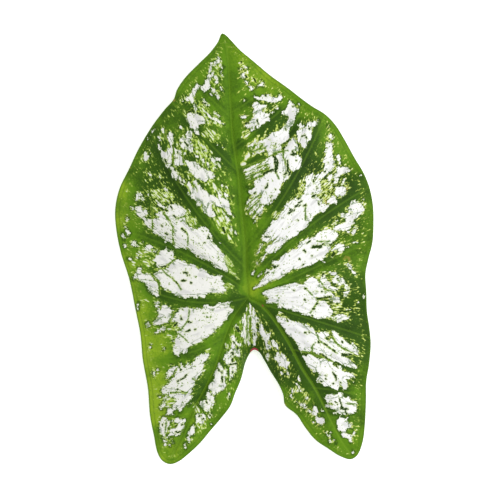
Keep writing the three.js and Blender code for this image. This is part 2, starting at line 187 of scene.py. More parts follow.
# White patches of the upper face, each an outline in chart units, tip end first
WHITE_PATCHES: tuple[str, ...] = (
    # Between the midrib and the left margin
    "197,84 199,85 199,89 196,93 194,97 195,103 192,104 189,101 189.5,96 192.5,91.5",
    "186.5,97.5 188.5,98 189,101.5 187,102.8 186,100.5", "181.2,99.3 183,99 183.8,101.5 182.5,102.6",
    "193,103.5 195.5,104 197,107 198,110.5 196.5,112 194.5,110",
    "211,62.5 213,63 212.5,66 211.5,69 210.5,72.5 208.5,73 209,69.5",
    "218.5,56.5 219.5,59 219.5,62.5 218,64 215.5,65 214,64.5 214.5,62 216.5,60.5",
    "221,68 221.5,65 223,66 224,68 222.5,69",
    "213.3,72 214,73 213,77 210.5,79.5 210,84 210,89 207,91 205,93 203.5,90.5 201,89.5 201.5,86.5 "
    "204,84.5 206,80.5 207,76 209,72.8 210.5,75.5",
    "215,76 216.5,76.5 218,79 218.5,83 217,84.5 215,83 215.5,80.5 214,79",
    "219,70.5 221,71.5 222,74.5 223,77.5 222,78.2 220.8,75.5",
    "211,88.5 214.5,89 216,91 217,95 219,97 220.5,98.8 219,99.8 216.5,97 215,93.5 212.5,91",
    "209,94 211,94 213,96 212.5,96.8 210,95.5", "220,88 221.5,90 223.5,91 223.5,92.3 220.5,90.5",
    "202,99.5 204.5,99.5 205,101.5 207.5,104 208.5,107 206,106.5 203,103",
    "188,114 191,113 196,113.5 199,115.5 203,117 206,120.5 205,125 200,124.5 198.3,127 198.3,131 "
    "200.5,135.5 198,135.2 195,132 193.5,129 190.5,129 190.5,125 187.5,122 186.3,119",
    "188,131.5 191,131.2 193,133 192.5,137 190,139.8 185.5,137.5 186.5,133.5",
    "182,138 188.5,139.5 190,141 192,145 193.5,149 192.5,152.5 190.5,152.5 189,150.5 183.5,149 "
    "180.5,147.5 179,144.5 179.5,140.5",
    "170,132.5 171.5,132.5 173,135 173,145 171,145.5 169.5,142.5 168,140 167.5,136.5",
    "160.3,134.5 160.5,137.5 162,141 161,142 159.5,139.5 158.3,137",
    "162.5,128.5 164,128.5 165.3,132 164.5,134.3 162,131",
    "153.8,129.5 154.8,129.5 153.5,132 151,135 149.5,137 148,140.5 146.5,140.5 147.5,138 149.5,135.5",
    "158,143.5 159,143.5 161.5,148.5 162,151 159.5,151 158.5,148.5",
    "162,151.5 166,152.5 167.5,150.5 169,149 172.5,147 173.2,149.5 172.5,155 171.5,164 170,168 "
    "168,167.8 165,165.5 163.5,162 162.5,158 161.5,153.5",
    "175,149.5 177,149 179,151.5 182,150.5 181.5,154 181.8,157.5 184,160 183.5,164 180,165.5 177,167 "
    "174.8,164.5 175,156", "184,152.5 186.5,153.5 187,155.5 185.3,156 183.3,155",
    "180.5,126 181.8,127 182.5,129.5 180.3,128",
    "184.5,161.5 188,161.5 192,162.3 196,163 199.5,166 201.5,168.5 204.5,170.2 209,171 213,172.8 "
    "214.2,177 213,179.3 208.5,179.5 205.5,183 202.5,181.5 197,179.5 193,175.5 189,171.5 190,168.3 "
    "187,164.5",
    "171,167 173,165.5 174.5,168.5 175,171 177,174 180,176.5 183,178.5 185.5,181.5 185,183.5 "
    "183.5,186.8 181.5,184.5 180.8,182 179,180 173,178 171.8,175.5 172.5,172 170.8,169",
    "143.5,153 146,151.7 146.5,155 149,156 150.5,153 150.5,156.5 148,158.5 147,161.5 145.5,162 144,160",
    "147.5,172 150,173 152,174.8 151.8,176 149,174.5", "150,176.5 152,178 152.5,179.5 150.5,179",
    "159,176 161.5,177.5 162.5,179 161,179", "164,183.5 165.5,184.5 166,186 164.3,185.8",
    "164.5,188 166.5,188 168,190.5 167.5,191.3 163.5,190.3", "148.5,193.5 150,193 150.3,196 147.5,196",
    "137,195 139.5,192.5 143.5,195 140,197 139.3,200.3 136.5,200",
    "141,198 144.5,197.8 144.8,202 142.5,202.5", "203.5,150 206.5,150.5 206.5,152.5 204,152",
    "210,157 213,158.8 216,158 219.5,158 221,160 220.5,162.5 218,161 213.5,163 211,161.5",
    "201,160 204,160 205,163 203.5,165 201.5,163",
    "206.5,163.5 208.5,163 210.5,166.5 209.5,168.8 207,167",
    "216.5,163.5 218.5,164.5 218,166.5 216,165.5", "215.5,168 218,168.5 217.5,170 215.8,170",
    "200,186.5 205,191 208,193 211,196 216,197.5 221,198.5 226,199.5 228.5,202 229.5,206 230,211 "
    "234.5,217 231,216.3 227.5,213.5 225,209.5 222,206.5 218,204.5 214,203.5 211,205 211,208 214,212 "
    "216,215.5 214,218 212,218.5 208.5,215.7 205,213 203,209.5 202.5,205.5 199.5,202.5 196.5,201.5 "
    "193,199 190,196.5 187.5,194 188,192 190.5,193.5 192,196 193,194.5 190.5,190.5 187,184.5 "
    "189,182.5 191,184.5 194,188 194.5,185 193,181.5 196,181 198,183.5",
    "223.5,212 225,214.5 228.5,218 231,221.5 228.5,222 226,219.5 224,216",
    "230.5,226 232,227 232.5,230 231,231", "222,184.5 223.5,186.5 223,188 221,187",
    "225,185 228,188.5 227,189.5", "222.5,148 223.7,149.5 221.8,149.5", "217,145 218.3,146 217.5,147.5",
    "232,196.5 233.2,198 231.5,198.5", "235,231.5 236,232 237,235 236,235",
    "219.3,241.5 221,242 220.8,243.5 219.5,243",
    "134.5,209 136,207 139,206 142,207.5 144.5,210 147,210.5 149.5,213 151.5,215.5 145.5,215 145,218 "
    "149,218.5 152,219.5 152.8,222 151.8,226 151,228.3 148,227 145.5,224.5 144.5,220.5 143.3,217.5 "
    "139.5,216.5 137.5,213.5 137,211", "131,207 133,207.5 133.3,210 131.8,209",
    "126,217 128,217.5 128.8,219.5 127,219.5",
    "124,224 125.5,224 126.5,227 128.5,230 131,233.5 129.5,235 128.5,237 127.2,235.5 127,231.5 125,228",
    "122,234 123.5,233.5 125,239 123.5,239.5", "124,244 126,244 126.3,247 125,248.5 124,246.5",
    "132,242 134.5,240.5 136.5,243.5 139.5,245 138,246.5 132,246",
    "142.3,241.5 143.8,241.3 143.8,243.5",
    "144,248 147,245.5 149.5,244 151,246.5 153,247.5 150,249.5 146.5,250.5",
    "151,251 155,250 158.5,250 157.5,251.5 153,252", "136,257 138.5,256.2 138.5,258 136.2,258.3",
    "138.5,252 140.5,252.5 140,255 138.5,254.5", "128,258.5 131,257.5 132.5,259 132,260.5 129,260",
    "156.5,201.5 159,202 162,205 166,206.5 169.5,207.5 168,209.5 164.5,208.5 161,207",
    "154,219.5 158,218.8 161,217 157.5,215 157.5,213 161,212 162.5,211.5 165,215.5 168,219.5 "
    "171.5,223 173,227 173,238 173.5,241.5 172.5,243.8 170.5,243 170,241 168,240.5 166,242.5 165,242 "
    "166,239.5 160,236 154.5,233 153,231 154,228 155,225 153.5,222",
    "163.5,210.5 167,212 170,211 168.5,208 170,205 174,204 181,206 184,208.5 186.5,210.5 186,214 "
    "184,217 186,220 186,222.5 188,226 192,227.5 195,229 198,229 202,227 205,226.5 208,228.5 210,232 "
    "212,236 213,239.5 212,242.5 216,245 219,248.5 222.5,252.5 225,255.5 223.5,258 225,262 226.5,266 "
    "228.5,270 227.5,272 224,270 220,268.5 215,266.5 212,262.5 209.5,259.5 206,260 203,258.5 "
    "199,257.5 196.5,256 193.5,252.5 190.5,249.5 187.5,247 186,249 183,248 180,247.5 177,248 "
    "174.5,246 174.3,240 174.2,228 172.5,222 170.5,219.5 168,216.5 166,213.5",
    "157,256 159,253.5 160,251 163,250 165.3,249.5 166,246.5 168,248 167,251 168.5,252.5 170,250.5 "
    "174,250.5 174.8,252.5 173.5,256 175,258.5 172.5,260.5 170,263 168.5,265.5 165,266.5 160,267.8 "
    "157.5,265.5 157,263 155.5,261 152,259.8 154,258.8",
    "153.3,275.3 157,272.5 160,270 165,269 169,267 171,264 175,260.5 179,258.5 181,260.5 185,262 "
    "190,263.5 195,264.5 195.5,267 199,268.5 203,268.5 207,270 209,273.5 212,275 218,274.5 222,275.5 "
    "221,278.5 222.5,281 224.5,283 223.5,285.5 226,288.5 226,291.5 218,292.5 210,291.5 206,294.5 "
    "204.5,297.5 200,296.5 198,298.3 193,296.3 189,296.3 186,298.5 183,297 178,296 174,294 171.5,290 "
    "168,290.5 164.5,288 161.5,284.5 160,281 157,278.3",
    "138.5,268 140.5,266.8 143,268.5 141.5,271 143,274 147,273.5 150.5,274 152,276 154,279 157.5,282 "
    "159.5,285 159.8,289 159.5,296 157.5,296.3 156,295 152,293 149,290.5 148,288.5 149.5,286 147,285 "
    "145.5,282.5 142.5,280.5 139.5,280 138,278 135,279.5 132.5,279.3 134,276.5 136,273 137.3,270.5",
    # Left basal lobe
    "154.5,303.5 157,301.5 159,300.7 160.3,302.5 158.8,305 157.5,308 156,306",
    "163.5,305.5 166,305 170.8,306.5 171,309 174.5,310.5 172,312.5 173.5,314.5 172.5,317 170,320 "
    "167,322 164,323.5 160,324.5 153.5,324.5 154,322 156,319 158,316 160,313.5 158,310 159.5,307.5 "
    "161,309",
    "175,315 177,312.5 179,311 179.5,308.5 182,307 184,308 187,306.5 189.5,307 191,309.5 193,308 "
    "197,307 202.5,308.5 204,306 205,304 208,304 210,305.5 213,306 216,305 217,302.5 220,302 "
    "221.5,303.5 226,301.5 229,301 231.5,300.5 229.5,303.5 230.5,307 233.5,309.5 231.5,312 229.5,314 "
    "228,316.5 227.5,318.5 224,320.5 222.5,323 220.5,325.5 217,327 214.5,329.5 215,331.5 212,333 "
    "209.5,333.5 208.5,336 205,337.5 202,338 202.5,340.5 198.5,341.5 195,343 190.5,345 187,348.5 "
    "187.5,351 186,353.3 184,353.3 182,351 180.5,353.5 179.5,354.8 176.5,354.5 174,351 173.5,345.5 "
    "176,342.5 175.5,339 177,336.5 179,334 177.5,331 181,328.5 180,326 178,325 177.5,322 174,320.5 "
    "171,319.5 173,317.5",
    "156,331 159,329.5 163,326.8 166.5,326.5 166,328.5 162,330.3 158.5,332 154.5,333.5",
    "146,323 148,321.3 149.5,323 150,326 148,327.5 146.3,325.5",
    "137.5,303.5 139.5,302.3 139,305.5 138.5,310.5 137,309", "172.5,339.3 173.8,339.5 173.5,341.3",
    "149.5,347.5 150.5,344 151.8,343.8 151.3,347", "163.5,349 165,347.5 165.8,348 164.3,349.5",
    "156.5,369.5 157.5,367.3 159,367.5 159.3,369 157.8,370",
    "152.5,371.5 155.8,370.5 155.3,373.5 154,376",
    "166,376 168.5,371.5 170,368.5 172,366.5 176.5,366.5 176,369 174,371.5 172,374.5 170,376.5 167,378",
    "172.5,379.5 174,376.5 176,372.5 178,369.5 180,367.5 180.5,364 181,361.5 183,363 183,366 "
    "185,367.5 187,365 188.5,362.5 190,361.5 190.5,364.5 193,361.5 195.5,359 196.5,355.5 199,354 "
    "202,352.5 209.5,352.5 209,356 206,359.5 202.5,361 204.5,364.5 203.5,367 201.5,370.5 203,372.5 "
    "200,374.5 196,377.5 196,381 195,384 193,386.5 192,390 191,392 188.5,390.5 184,390.5 182.5,388.5 "
    "181,391 173,391 169,391.5 163,393.5 161.5,393 162.5,387 167,384 169,382.5 171,380.5",
    "167,393 170,393 178.5,392.5 183,391.8 187,392.3 190.5,394 193.2,395.8 191.5,398 189,400 "
    "188,402.5 185,404 183,406.5 182,410 180,411.8 179,410.5 179.3,408 177,406.5 175,408.5 173,408.5 "
    "172.5,405 175,403 177,400 177.5,397 174,397 170.5,396",
    "163.5,397.5 166,395.8 168,396.5 166,398.3 164,399",
    "158.5,396 160.3,395.5 161.5,396.5 159.5,397.3",
    "161.5,404.5 163,401.5 165,400.8 165.8,403.5 164.8,406.5 163,407.3 162,409.5 160.3,409.5",
    "167.5,408.5 170,407.5 173.5,409 172.5,411.5 174,414 166,414.5 167.3,412.3",
    "188.5,402.8 190.5,401.5 191.5,402.3 188,405.5",
    "161,419.5 162,416.5 164,416 166.5,418 168.5,420 170.5,421 170,424 168.5,426.5 166,431 165.5,435 "
    "163.5,436 161.5,434 160,431.5 159,427 159.8,423.5",
    "172,421 175,419.5 176,417 178,416.5 180,419 184,417.8 186.5,419.3 184,421.5 182,423.5 "
    "185.3,425.5 184.5,427.5 181.5,429 183,431 180.5,433.5 177.5,435.5 174,434.5 171,435.5 167,437.3 "
    "169,434.5 170.5,431.5 170,429 176,427.5 178.5,425.5 178,422.5",
    "162,439.5 167.5,437.5 166,440 164,441.8", "164,443 166.8,442.3 166.3,444.5 165,445.5",
    "168.3,444.5 170.5,444.8 170.3,446.3", "172,441.5 174.5,442.5 174,444",
    "169.5,438.5 172,438 173,439.3",
    # Between the left basal vein and the sinus
    "192,425.5 193.5,424 194.3,428 195,430.5 193.5,435.3 187,434 188.5,431.5 190.5,428",
    "187,436.5 189,436 190.5,439 190.3,442 189,442.5 188.5,439.5",
    "183.5,443.5 185.3,443 186.5,446 185.3,449", "196.5,402 198,401.5 197.5,404.5",
    "195.5,414 199,412.5 202,413 205,414.5 206.5,417.5 204.5,419.5 203,423.5 201.5,424 198,421.5 "
    "196.5,423 197.5,427 195.8,424 196,418.5",
    "207.5,414 209.5,412.5 211.8,414 212,416.5 210,418.3 208.8,416.5",
    "207,391 209.8,391 211,393.5 213.5,396 215,401.5 213,404.5 210,408 208.5,410.5 206.5,410.5 "
    "203.5,409 201.5,406.5 200,403 200.5,400.5 207,399 206.5,395.5",
    "219.5,360 220.5,363 221.5,366.5 224.5,368.5 226.5,370 227,373.5 225.5,376 225.5,382 226.5,385 "
    "225,387.5 223,389 220,389 219,391.5 216,393 213.5,393 211.5,390.5 209.5,388 208.5,385 210,383.5 "
    "212.5,380.5 215,377 214,374 215,370.5 216.5,367.5 218.5,364",
    "228.5,393.5 229.8,391.5 230.3,393.5 229,395", "228,396.3 229.3,396.5 228.5,398",
    "210.8,423.5 212,424 211.5,425.5",
    "231.5,343 233,340 230.5,336.5 231,334.5 233.5,334.5 235.5,337 235.8,341 238,342.5 241.5,342.5 "
    "241.5,344.5 239,346.5 237,344.5 234.5,345 237,348.5 240,350.5 240.3,355 239,357.5 236.5,355 "
    "234.5,352.5 234.8,355 232,358 233,361.5 235.5,360 236.5,363 236.8,367 236,371 233.5,373.5 "
    "231.5,377 230.5,381.5 229.8,378 230,372 229.8,367 230.8,364.5 227.5,364.5 226,362 223.5,358 "
    "225,354.5 226.5,351 229,350.5 231.5,347.5",
    "234,326.5 236.5,324.5 238.5,327.5 239.5,330.5 237,330.5",
    "224.5,345 226,345.5 227.5,348 226,348.5",
    "250,303.5 251,306 251.3,311 250.3,316 249,320 248.5,325 248,330 250,338 250.5,344 249,345 "
    "247,342.5 247.5,336 247.3,328 246.8,320 248.3,313 249.3,308",
    "247,306.5 248,308 247,311.5 246,310",
    "244.5,313 246,314 245.8,319 246,325 246.5,330 247,336 245.5,344 244,343 244.5,338 241.5,336 "
    "240.8,332.5 242.5,330 243.5,326 243,322.5 242,320",
    "253.5,307.5 255.5,312 256,316 259.5,318.5 259.3,321 257,321.5 256,326 256.5,329 256,333 "
    "257.5,336 255.5,341 255.3,344.5 253,346.3 253,340 252.5,333 251.5,329 252,322 251.8,316 252.5,311",
    # Between the right basal vein and the sinus
    "259.3,331 259.5,324 261.5,322.5 262.5,325 264,329.5 266,331.5 266,334 268.5,333 270.5,330.5 "
    "270.5,334 269,337.5 268,341 267.5,343.5 272,345.5 269,348.5 266.5,349.5 265,348 265.5,344 "
    "264,340 262,336",
    "270.5,340 272,338.8 275,341 277,344 278,347.5 277.5,350 280,354 281,352.5 283,353.5 285,356 "
    "286,359.5 289,361 289.8,363 287.5,365.5 287,369 284,366.5 281.5,366.5 279,365 277.5,361 "
    "274.5,357.5 275.5,354 277,351 275.5,346.5 272.5,345",
    "265.5,353.5 268,352.5 269.5,355 267.5,357 267.5,360.5 266,359.5",
    "280,371 283,372 283.5,374 281,373.5", "286,370 288,371.5 289,375 287,373.5",
    "296.5,377 298,375.5 299.5,378 300,381 298.5,380",
    "295,382 297,382 299.5,385 300,388 302.5,390.5 300,391 298.5,388 296.5,385",
    "291.5,388 293,390.5 293.5,393.5 292,394", "290,393 291.5,396 292.5,398 290.5,397",
    "303.5,398.5 305,397.5 307,395 307.8,397.5 306,398.8",
    "297,401.5 300,403 305,402 305.5,404.5 304,406.5 307,407 309.5,409.5 311.5,411.5 315,415.5 "
    "312.5,414.5 309.5,411.5 305,408 301,405.5",
    "312,410.5 313,407 314.5,404.8 316.5,406.5 317.5,408.5 318,411 316.5,413.5 315.5,416 311.5,413",
    "319.8,409.5 321,408 323,410.5 321.5,411.5",
    "315,418.5 317,416.5 320,417.5 322,416.5 323.5,419 324,422 322.5,424 320,424 318.5,425 317,422.5",
    "312,421 313.8,421.5 313.8,423",
    "324.5,431.5 326.5,432 327.5,434 329.5,434.5 330,432 331,431.5 330,436 328.5,436",
    "328.5,441 330,438.5 331,441.8 329.8,442.8", "333.3,438.8 334.8,439 334,440.3",
    "335.3,443 336.5,443.3 335.8,444.5",
    # Right basal lobe, up to the lowest side vein of the right side
    "275.5,315.5 278,316 283,317 290,319.5 294,321 297,320.5 300,322.5 304,323.5 307,324.5 309,327 "
    "312,327.5 314,330.5 314.5,333 317,332 320,333.5 319.5,331 323,330.3 326,331.5 328.5,334 "
    "326,336.5 323.5,338 327,340 330,338 333,339.5 335,343 338,346 342,348.5 346,350.5 349.5,352 "
    "350,355 347,354 343.5,352 342,354 344,356.5 348,358 351,361 354,364 357.5,366.5 355.5,368 "
    "351,366.5 343,364.5 339.5,362.5 338,361 334,360.5 331.5,360 328,358 324.5,356 320,352 "
    "318.5,353.5 316,352 313.5,350.5 300,350 298,346.5 295,341.5 293,338 287.5,334 285.5,331.5 "
    "284,330.5 285,328.5 282,326 281,323 278.5,321",
    "331,329.5 333,330 336,332.5 339,336 341.5,336.5 344,339.5 347,343 350,344.5 352,342 355,345 "
    "357,348 358,351.5 357.5,355 355,354 352,352.5 349,350 344,348 340,345.5 337,342 334,338 332.5,334",
    "301,353 304,354.5 306,355.5 308,353 311,353.5 315,356.5 319,358.5 322,357.5 325,358.5 329,360.5 "
    "332,361 332,364 335,366 337,368 336,365 340,365 341,368 343,371 348,371.5 352,373.5 355,375.5 "
    "354,377 350.5,376.5 351,379 345,378 346.5,381.5 347.5,385 345,388.5 343,389.3 341,386.5 337,385 "
    "338,387 337,389 334.5,388.5 332,387 325,385.3 322,385 323,383 319,381.5 316,380.5 316,377.5 "
    "318.5,375 318,371.5 312.5,371 312,368 308,366.5 306,363 304,360 303,357",
    "324,396.5 326,393 329,394 331,391.5 334.5,394 337.5,393.5 339,391 341,391.5 343,395 345,397 "
    "348,396 350,399 352,401 355,401 357,402 357,406 356.5,411.5 352,413.5 349,414.3 343.5,413.8 "
    "340,412.5 336.5,411 334.5,409 331.5,408 328.5,406.5 325,406.5 324.5,404.5 327,402.5 326,400",
    "332,412 335,411.5 337,412.5 336,413.8 333,413.5", "351.3,380 353,380.5 353.5,382",
    "337,418.5 339.5,415.8 341,417.5 344,418 347,416.5 347.8,418 347,420.5 350,423 352,425 350,427 "
    "352,428 348,427.3 345.5,429.5 345.5,433 348,434 351.5,434.5 353.5,432.5 354,430.8 355.3,432 "
    "354,435.5 351.8,437 351.5,440 352,442.3 350.5,442.3 348.5,438.5 344,437 341,434.5 342,431.5 "
    "339,430.3 336.5,428.5 337.5,425.5 336,423", "353,450.5 354.3,451.5 353.8,454 352.5,453.5",
    # Right side, from the lowest side veins up to the tip
    "262,292.5 265,290.5 270,289 275,287.3 284,285 290,283.5 294,282.5 299,283.5 303.5,284 "
    "304.5,281.5 307,279 311,277 314,277.5 316.5,280 318.5,283 320.5,286 323,289 326,291 331,292.5 "
    "334,295 330,296.5 326,295.5 322,297.5 318.5,297.5 316,296 318,300 323.5,300.5 326,302.5 329,306 "
    "331,309.5 333,312.5 331,315 329,317 325,317.5 318,318.5 315,317 308.5,315.5 306,314 302,313.5 "
    "299.5,312 298,310 293,311 290,308.5 286,308.5 283,306.5 279,303 274,302.5 268,302 268.5,297 "
    "265,295",
    "322.5,273 323.5,275 325.5,278 328,281 330.5,284 331,286.5 334.5,287.3 337.5,288.5 335,290.3 "
    "331,290.7 327,289.5 324,287 322,284.5 320,281.5 317,279 319.5,279.5",
    "328,298.5 331,297 335,296.5 338,297.5 340,299.5 339.5,302.5 336,303 333,301.5",
    "345.5,309.5 348,308 351,308.3 352.5,309.8",
    "330.5,319 332,316 334,315.5 337,314 341,313.5 345,315 349,316 350,318 343,319.5 340.5,321 "
    "338,322.3 336,321", "361.8,295.5 364,294 364,299.5 362.5,299", "356.8,302 358,302 357.5,304.3",
    "326.5,272.5 329,271.5 334.5,271.5 336,273.5 338,276.5 342,278 345,280.5 345,283.5 339,285.5 "
    "337,284 333.5,282.5 331,281 331.5,279 334,278.5 334,275.5 331,274.8",
    "342.5,287 346,284.5 348.5,285.5 348,287.3 350,289.3 349,290.5 346,289.8",
    "345,263.5 348,262.5 350.5,264.5 351.5,268 354,271 356,273.5 354.5,275.5 352.5,273.5 350,270 "
    "347,266.5",
    "253,288 256,285.5 259.5,283 262,279.5 265,275.5 267,273.5 268,271 272,269 272.5,267 271,265.5 "
    "275,262 279,259 281.5,256.5 284,253.5 287.5,252.5 290,251 293,249.5 297,248 297.5,245 301,241 "
    "305,239.5 311,237.5 314,236 315,234 320,232 323,230 328,229.5 331,230.5 335,232 337,233.5 "
    "337.5,236 335.5,239 333,242 331,245 330,248 328,251 326,254 325,257 322,258.5 323,261 325,262.5 "
    "322.5,262.5 320.5,260.5 318.5,260 315,262.5 311,264.5 308,266.5 304,267 300,268 296,268.2 "
    "290,270.3 286,273 283,275.5 280,277.5 276,279 272,280.3 268,282 264,284 260,286 253.5,288.8",
    "331.5,250.5 333,247.5 335.5,245 339,243.8 343,244 344,247 344,250.5 341,251 337,250",
    "345,247.5 348,246 348.5,247.3", "330,256 332,254.5 333.5,254.8 331.5,257.5",
    "352,242.5 358,241.5 357.5,243", "251.5,274.5 253.5,271 255.5,269 254.5,271.5 252.5,275.5",
    "257,277 259,274.5 262,272 259.5,275.5",
    "256,262 257.5,262 258.5,264.5 257,264.5", "260.5,262 262,258.5 265,254.5 264.5,258 262,261.5",
    "260,260.5 262,257.5 264,255.5 262,260",
    "258,250.5 260,246 262,243.5 263,244 260.5,247.5 259,252 256.5,254",
    "350.3,202.5 352,200.5 358,202 361.5,204.5 363.5,206.5 364,210.5 361.5,213.5 358.5,215.5 "
    "357,217.5 354.5,218.3 353,221 354,224 352,223 350.5,225.5 350.5,228 347,229.8 343,230.8 "
    "339,231.3 335,230 332,229 333.5,226 337,225 341,224 345,221.5 345,218 342,217 339.5,216 "
    "338.5,214.3 342,213 346,213.3 350,212.5 346.5,209.3 349,207",
    "333,222 335,220 338,220.3 337.5,222.3",
    "350.5,233 352,230.5 353.5,227.5 357,227 355.5,232.5 353.5,234",
    "345,232.5 347,231 349.5,231.5 348.5,234",
    "305,177.5 309,174.5 313,173 313.5,177 314,180.5 318,181 320.5,182.5 320,187 320.5,191 "
    "318.5,194.5 315.5,193.5 316,197 319,199 321.5,203 325,205 329,204.5 327.5,207.5 325,210 323,213 "
    "320,212 316,214.5 312,218 309,222 306,226.5 304,229.5 300,230.5 297.5,233 296,236 291,237.5 "
    "286,241 281.5,245 278.5,249 275,252 270,253 265.5,254 265.3,250.5 268,245.5 272.5,242.5 "
    "276.5,239.3 275,238 271,240.5 267,242 262.5,241 261,238.5 263.5,234 266,230 269.5,226 272,221.5 "
    "277,219.5 279.5,216 282,211.5 284,207 287,203.5 291,200.5 295,199 300,197.5 303,194.5 304.5,190 "
    "305.5,186", "260,205 264,205 263,209 261.5,213 259.5,217.5 258.3,217.5 259,213",
    "253.5,222 256,221 256.5,222.5",
    "325.5,143.5 328,142.5 332.5,144.5 332,149 330.8,151.5 332,154.5 333,156.5 331.5,158.5 333.5,160 "
    "334.5,163 333,167 332,170.5 330,172.5 327,174 325,176 322,178 318,179.5 314.5,179 314,176 "
    "320,174 322,172 324,169 324.5,166 323,163 322.8,160 325,157.5 325,151 326.5,147.5",
    "336,156.5 338,155.5 340,157.5 339.5,160 341,163 339.5,164.8 337.5,163",
    "335,167.5 338,167 341,168.5 344,166 346,166.5 348,169 350.5,170.3 348,172 346,173.5 341.5,175 "
    "339,177 338.5,180 337,183 334.5,185 333,184 334.5,181 334,177 335,173.5 337,171.5",
    "327,177 331,174.5 333,175.5 332,179 330,182 327.5,180.5",
    "341.5,181 343.5,178.5 345,180 343.5,183.5 341,184.8",
    "335.5,187.5 339,187 342,186.5 345,188.5 345.8,192 344,195.5 341,197 338,197.5 335,195.5 334,192",
    "329,198 331.5,195.5 334,197.5 336,201 336,204 329,204 326,203", "358,175.5 361,175 361.5,177",
    "362,198 363.5,199.5 363,201", "317.8,121 319,120 319.5,121.8",
    "327,125 328,124.8 328.8,127 327.8,129.3", "329,134.5 331,134 333,136 332.8,139 330.5,140 327,137",
    "308,123 312,122.5 315,121 316.3,124 315,127 312,127.5 310,129 307,125",
    "297.5,125 300,123.5 304,126.5 303,128.5 299.5,129",
    "304,128 307.5,127 310.5,129.5 311.5,128.5 311,133 310,134.5 312,137 310,140 307,141.5 "
    "306.5,145.5 304.5,149.5 302,148 300,144.5 298,142.5 297.5,139 297,136 296,132.5 299,130.5",
    "289.5,140.5 293,138.5 295.5,140.5 296.5,144.5 298,148.5 297.5,151.5 294,154 296.5,155.5 301,159 "
    "301,164 300,168.5 296,170.5 292,172.5 290,171 288,168.5 286,165.5 284.5,162 283.5,158 283,154 "
    "284.5,149 286,146",
    "289.5,100.3 292,103 295,106.5 299,109.5 298,113 295,115.5 294.5,118 293.5,122 292,126 "
    "289.5,128.5 289,132 288.5,135 289.5,138.5 287,141 283,143.2 280,145.5 282,148.5 281.8,151.3 "
    "278,152.5 274,154 270,156.5 267,156 267,152 265,149 263,146 262.5,142.5 265,139.5 269,136.5 "
    "272,133.5 278,132.5 281,129 284.5,125.5 287.5,121.5 288.5,117.5 285,115.5 281,115.3 281.5,112.3 "
    "285,110.5 287.5,107.5",
    "266,160 269.5,158 275,156 280,153.5 282,154.5 282.5,158 283.5,162 285,166 287,169 289,172 "
    "289.5,175 288,179 285,181 282.5,182 281.5,185 281,188 279.5,190 280,192.5 278,194.5 276,197.5 "
    "274.5,200 272,199.5 270,201 268,204.5 257,204.5 258,200 262,197 260,193 256,193.5 252,195 "
    "248.5,193.5 247.5,192 252,189.5 255,187 253,184 256,180.5 261,177.5 265,174.5 268,173 269.5,170 "
    "270,164", "269,201.5 272,201.5 272,204 270,204", "297,104 299,103.8 299.8,105.5",
    "252.5,97 254.5,95.8 256.5,97.5 260,97.5 263,95.5 269.5,94.8 271,97.5 274,97 277.5,98.3 279,95 "
    "281,94 282,98 280.5,101 276,102.5 272.5,103.8 269,102.5 264.5,101.5 260,100.5 256,99.5",
    "254.5,102.5 258,102.8 260,105 262.5,106 265.5,104.5 266,107 262.5,110.5 262,113 269,115 "
    "269.3,121.5 266.5,122 263.5,124.5 261,126.5 259.5,129 257,128.5 255,126 254.5,130 252.5,132 "
    "250.5,131 250,128.5 247,129 245.5,126.5 244,126.5 244.5,124.5 248,124 250.5,122 252,119 "
    "255,116.5 253,113 255.5,110 251,107", "273.5,107.5 277.5,107.5 278.3,109.8 273.5,109",
    "268,115 270.5,112.5 273.5,112 272,114.5",
    "255.5,88 258,85 261,83.5 262,80.8 263,82.5 263.2,86.8 260,86.5",
    "250,87.5 254,87.5 253.5,89.5 251.5,91", "245.5,81 248,81.5 248,84.5 250,86 249,87 246.5,84.5",
    "245,69.8 245.5,67.5 247.5,67.3 247,69",
    "241,73 243.5,72.7 244.5,74.5 245.5,76.5 244.5,79 242.5,78.5 240.5,77.5",
    "239,69 241.5,69 241,71.5", "241,117 243,116.5 245.5,116 246,118.5 242,119.5",
    "244,99.5 245.5,100 245,102.5 243.5,103", "265,131 267,131.5 266.5,133.3",
    "265,136 266.5,136.3 265.8,137.5", "247,187.5 249,187.3 248.5,189.3",
    # Thin strips across the lace by the midrib, right side
    "247,146.5 255,143 262,140.5 262.5,142.6 255,145.5 248,148.4",
    "248.5,150.3 256,147.4 264,145.3 264.4,147.2 256.5,149.7 249,152",
    "253,154.2 260,151.7 266,150 266.4,151.8 260,154 253.5,156",
    "243.5,170.8 252,167 262,163.3 267,161.5 267.6,163.5 262,165.7 252,169.4 244,172.8",
    "245.5,174.4 254,171 262,168 268.5,165.8 269,167.8 262,170.5 254,173.3 246,176.6",
    "247,178.3 254,175.4 262,172.8 267.5,171 267.8,172.9 262,175.2 254,177.9 247.5,180.2",
    "246,203.5 250,198 255,194 256.2,195.5 251.2,199.9 247.5,205.2",
    "246.5,209 252,202 258,197.5 259.2,199.2 253.5,204.1 248.2,210.8",
    "249,214 254,206.5 258.5,202.5 259.5,204.2 255.5,208.9 251,215.3",
    "252.5,218.5 256,211.5 258.5,208 259.5,209.5 257.5,213.7 254.2,219.8",
    # The same, left side
    "206,112 210,116 213.5,119.3 214.2,121.5 210,119 206.3,115",
    "213,118 217,119.4 221,122 224.5,124.5 223.5,125.9 218.5,123.4 214,120.8",
    "214.5,112.4 217.5,114.3 220.3,116.7 219.3,118 216.3,116.1 214,114",
    # Small islands between the larger patches
    "197,198.5 201,198.5 201.5,206 197.5,206.5 196.5,203",
    "211,201.5 216,202.5 224,204.5 225,207.5 219,207 212,204.5",
    "218,189.5 220,190 221,196.5 219,197.5", "223.5,193.5 226,194 229,197 226,197.5",
    "252.5,199 255,195 259,193 260.5,194.5 257.5,197.5 257,201 253,201",
    "187,134 189.5,133.5 190,139 187.5,140.5", "180.5,162.5 184,163.5 184,165.5 181,165.5",
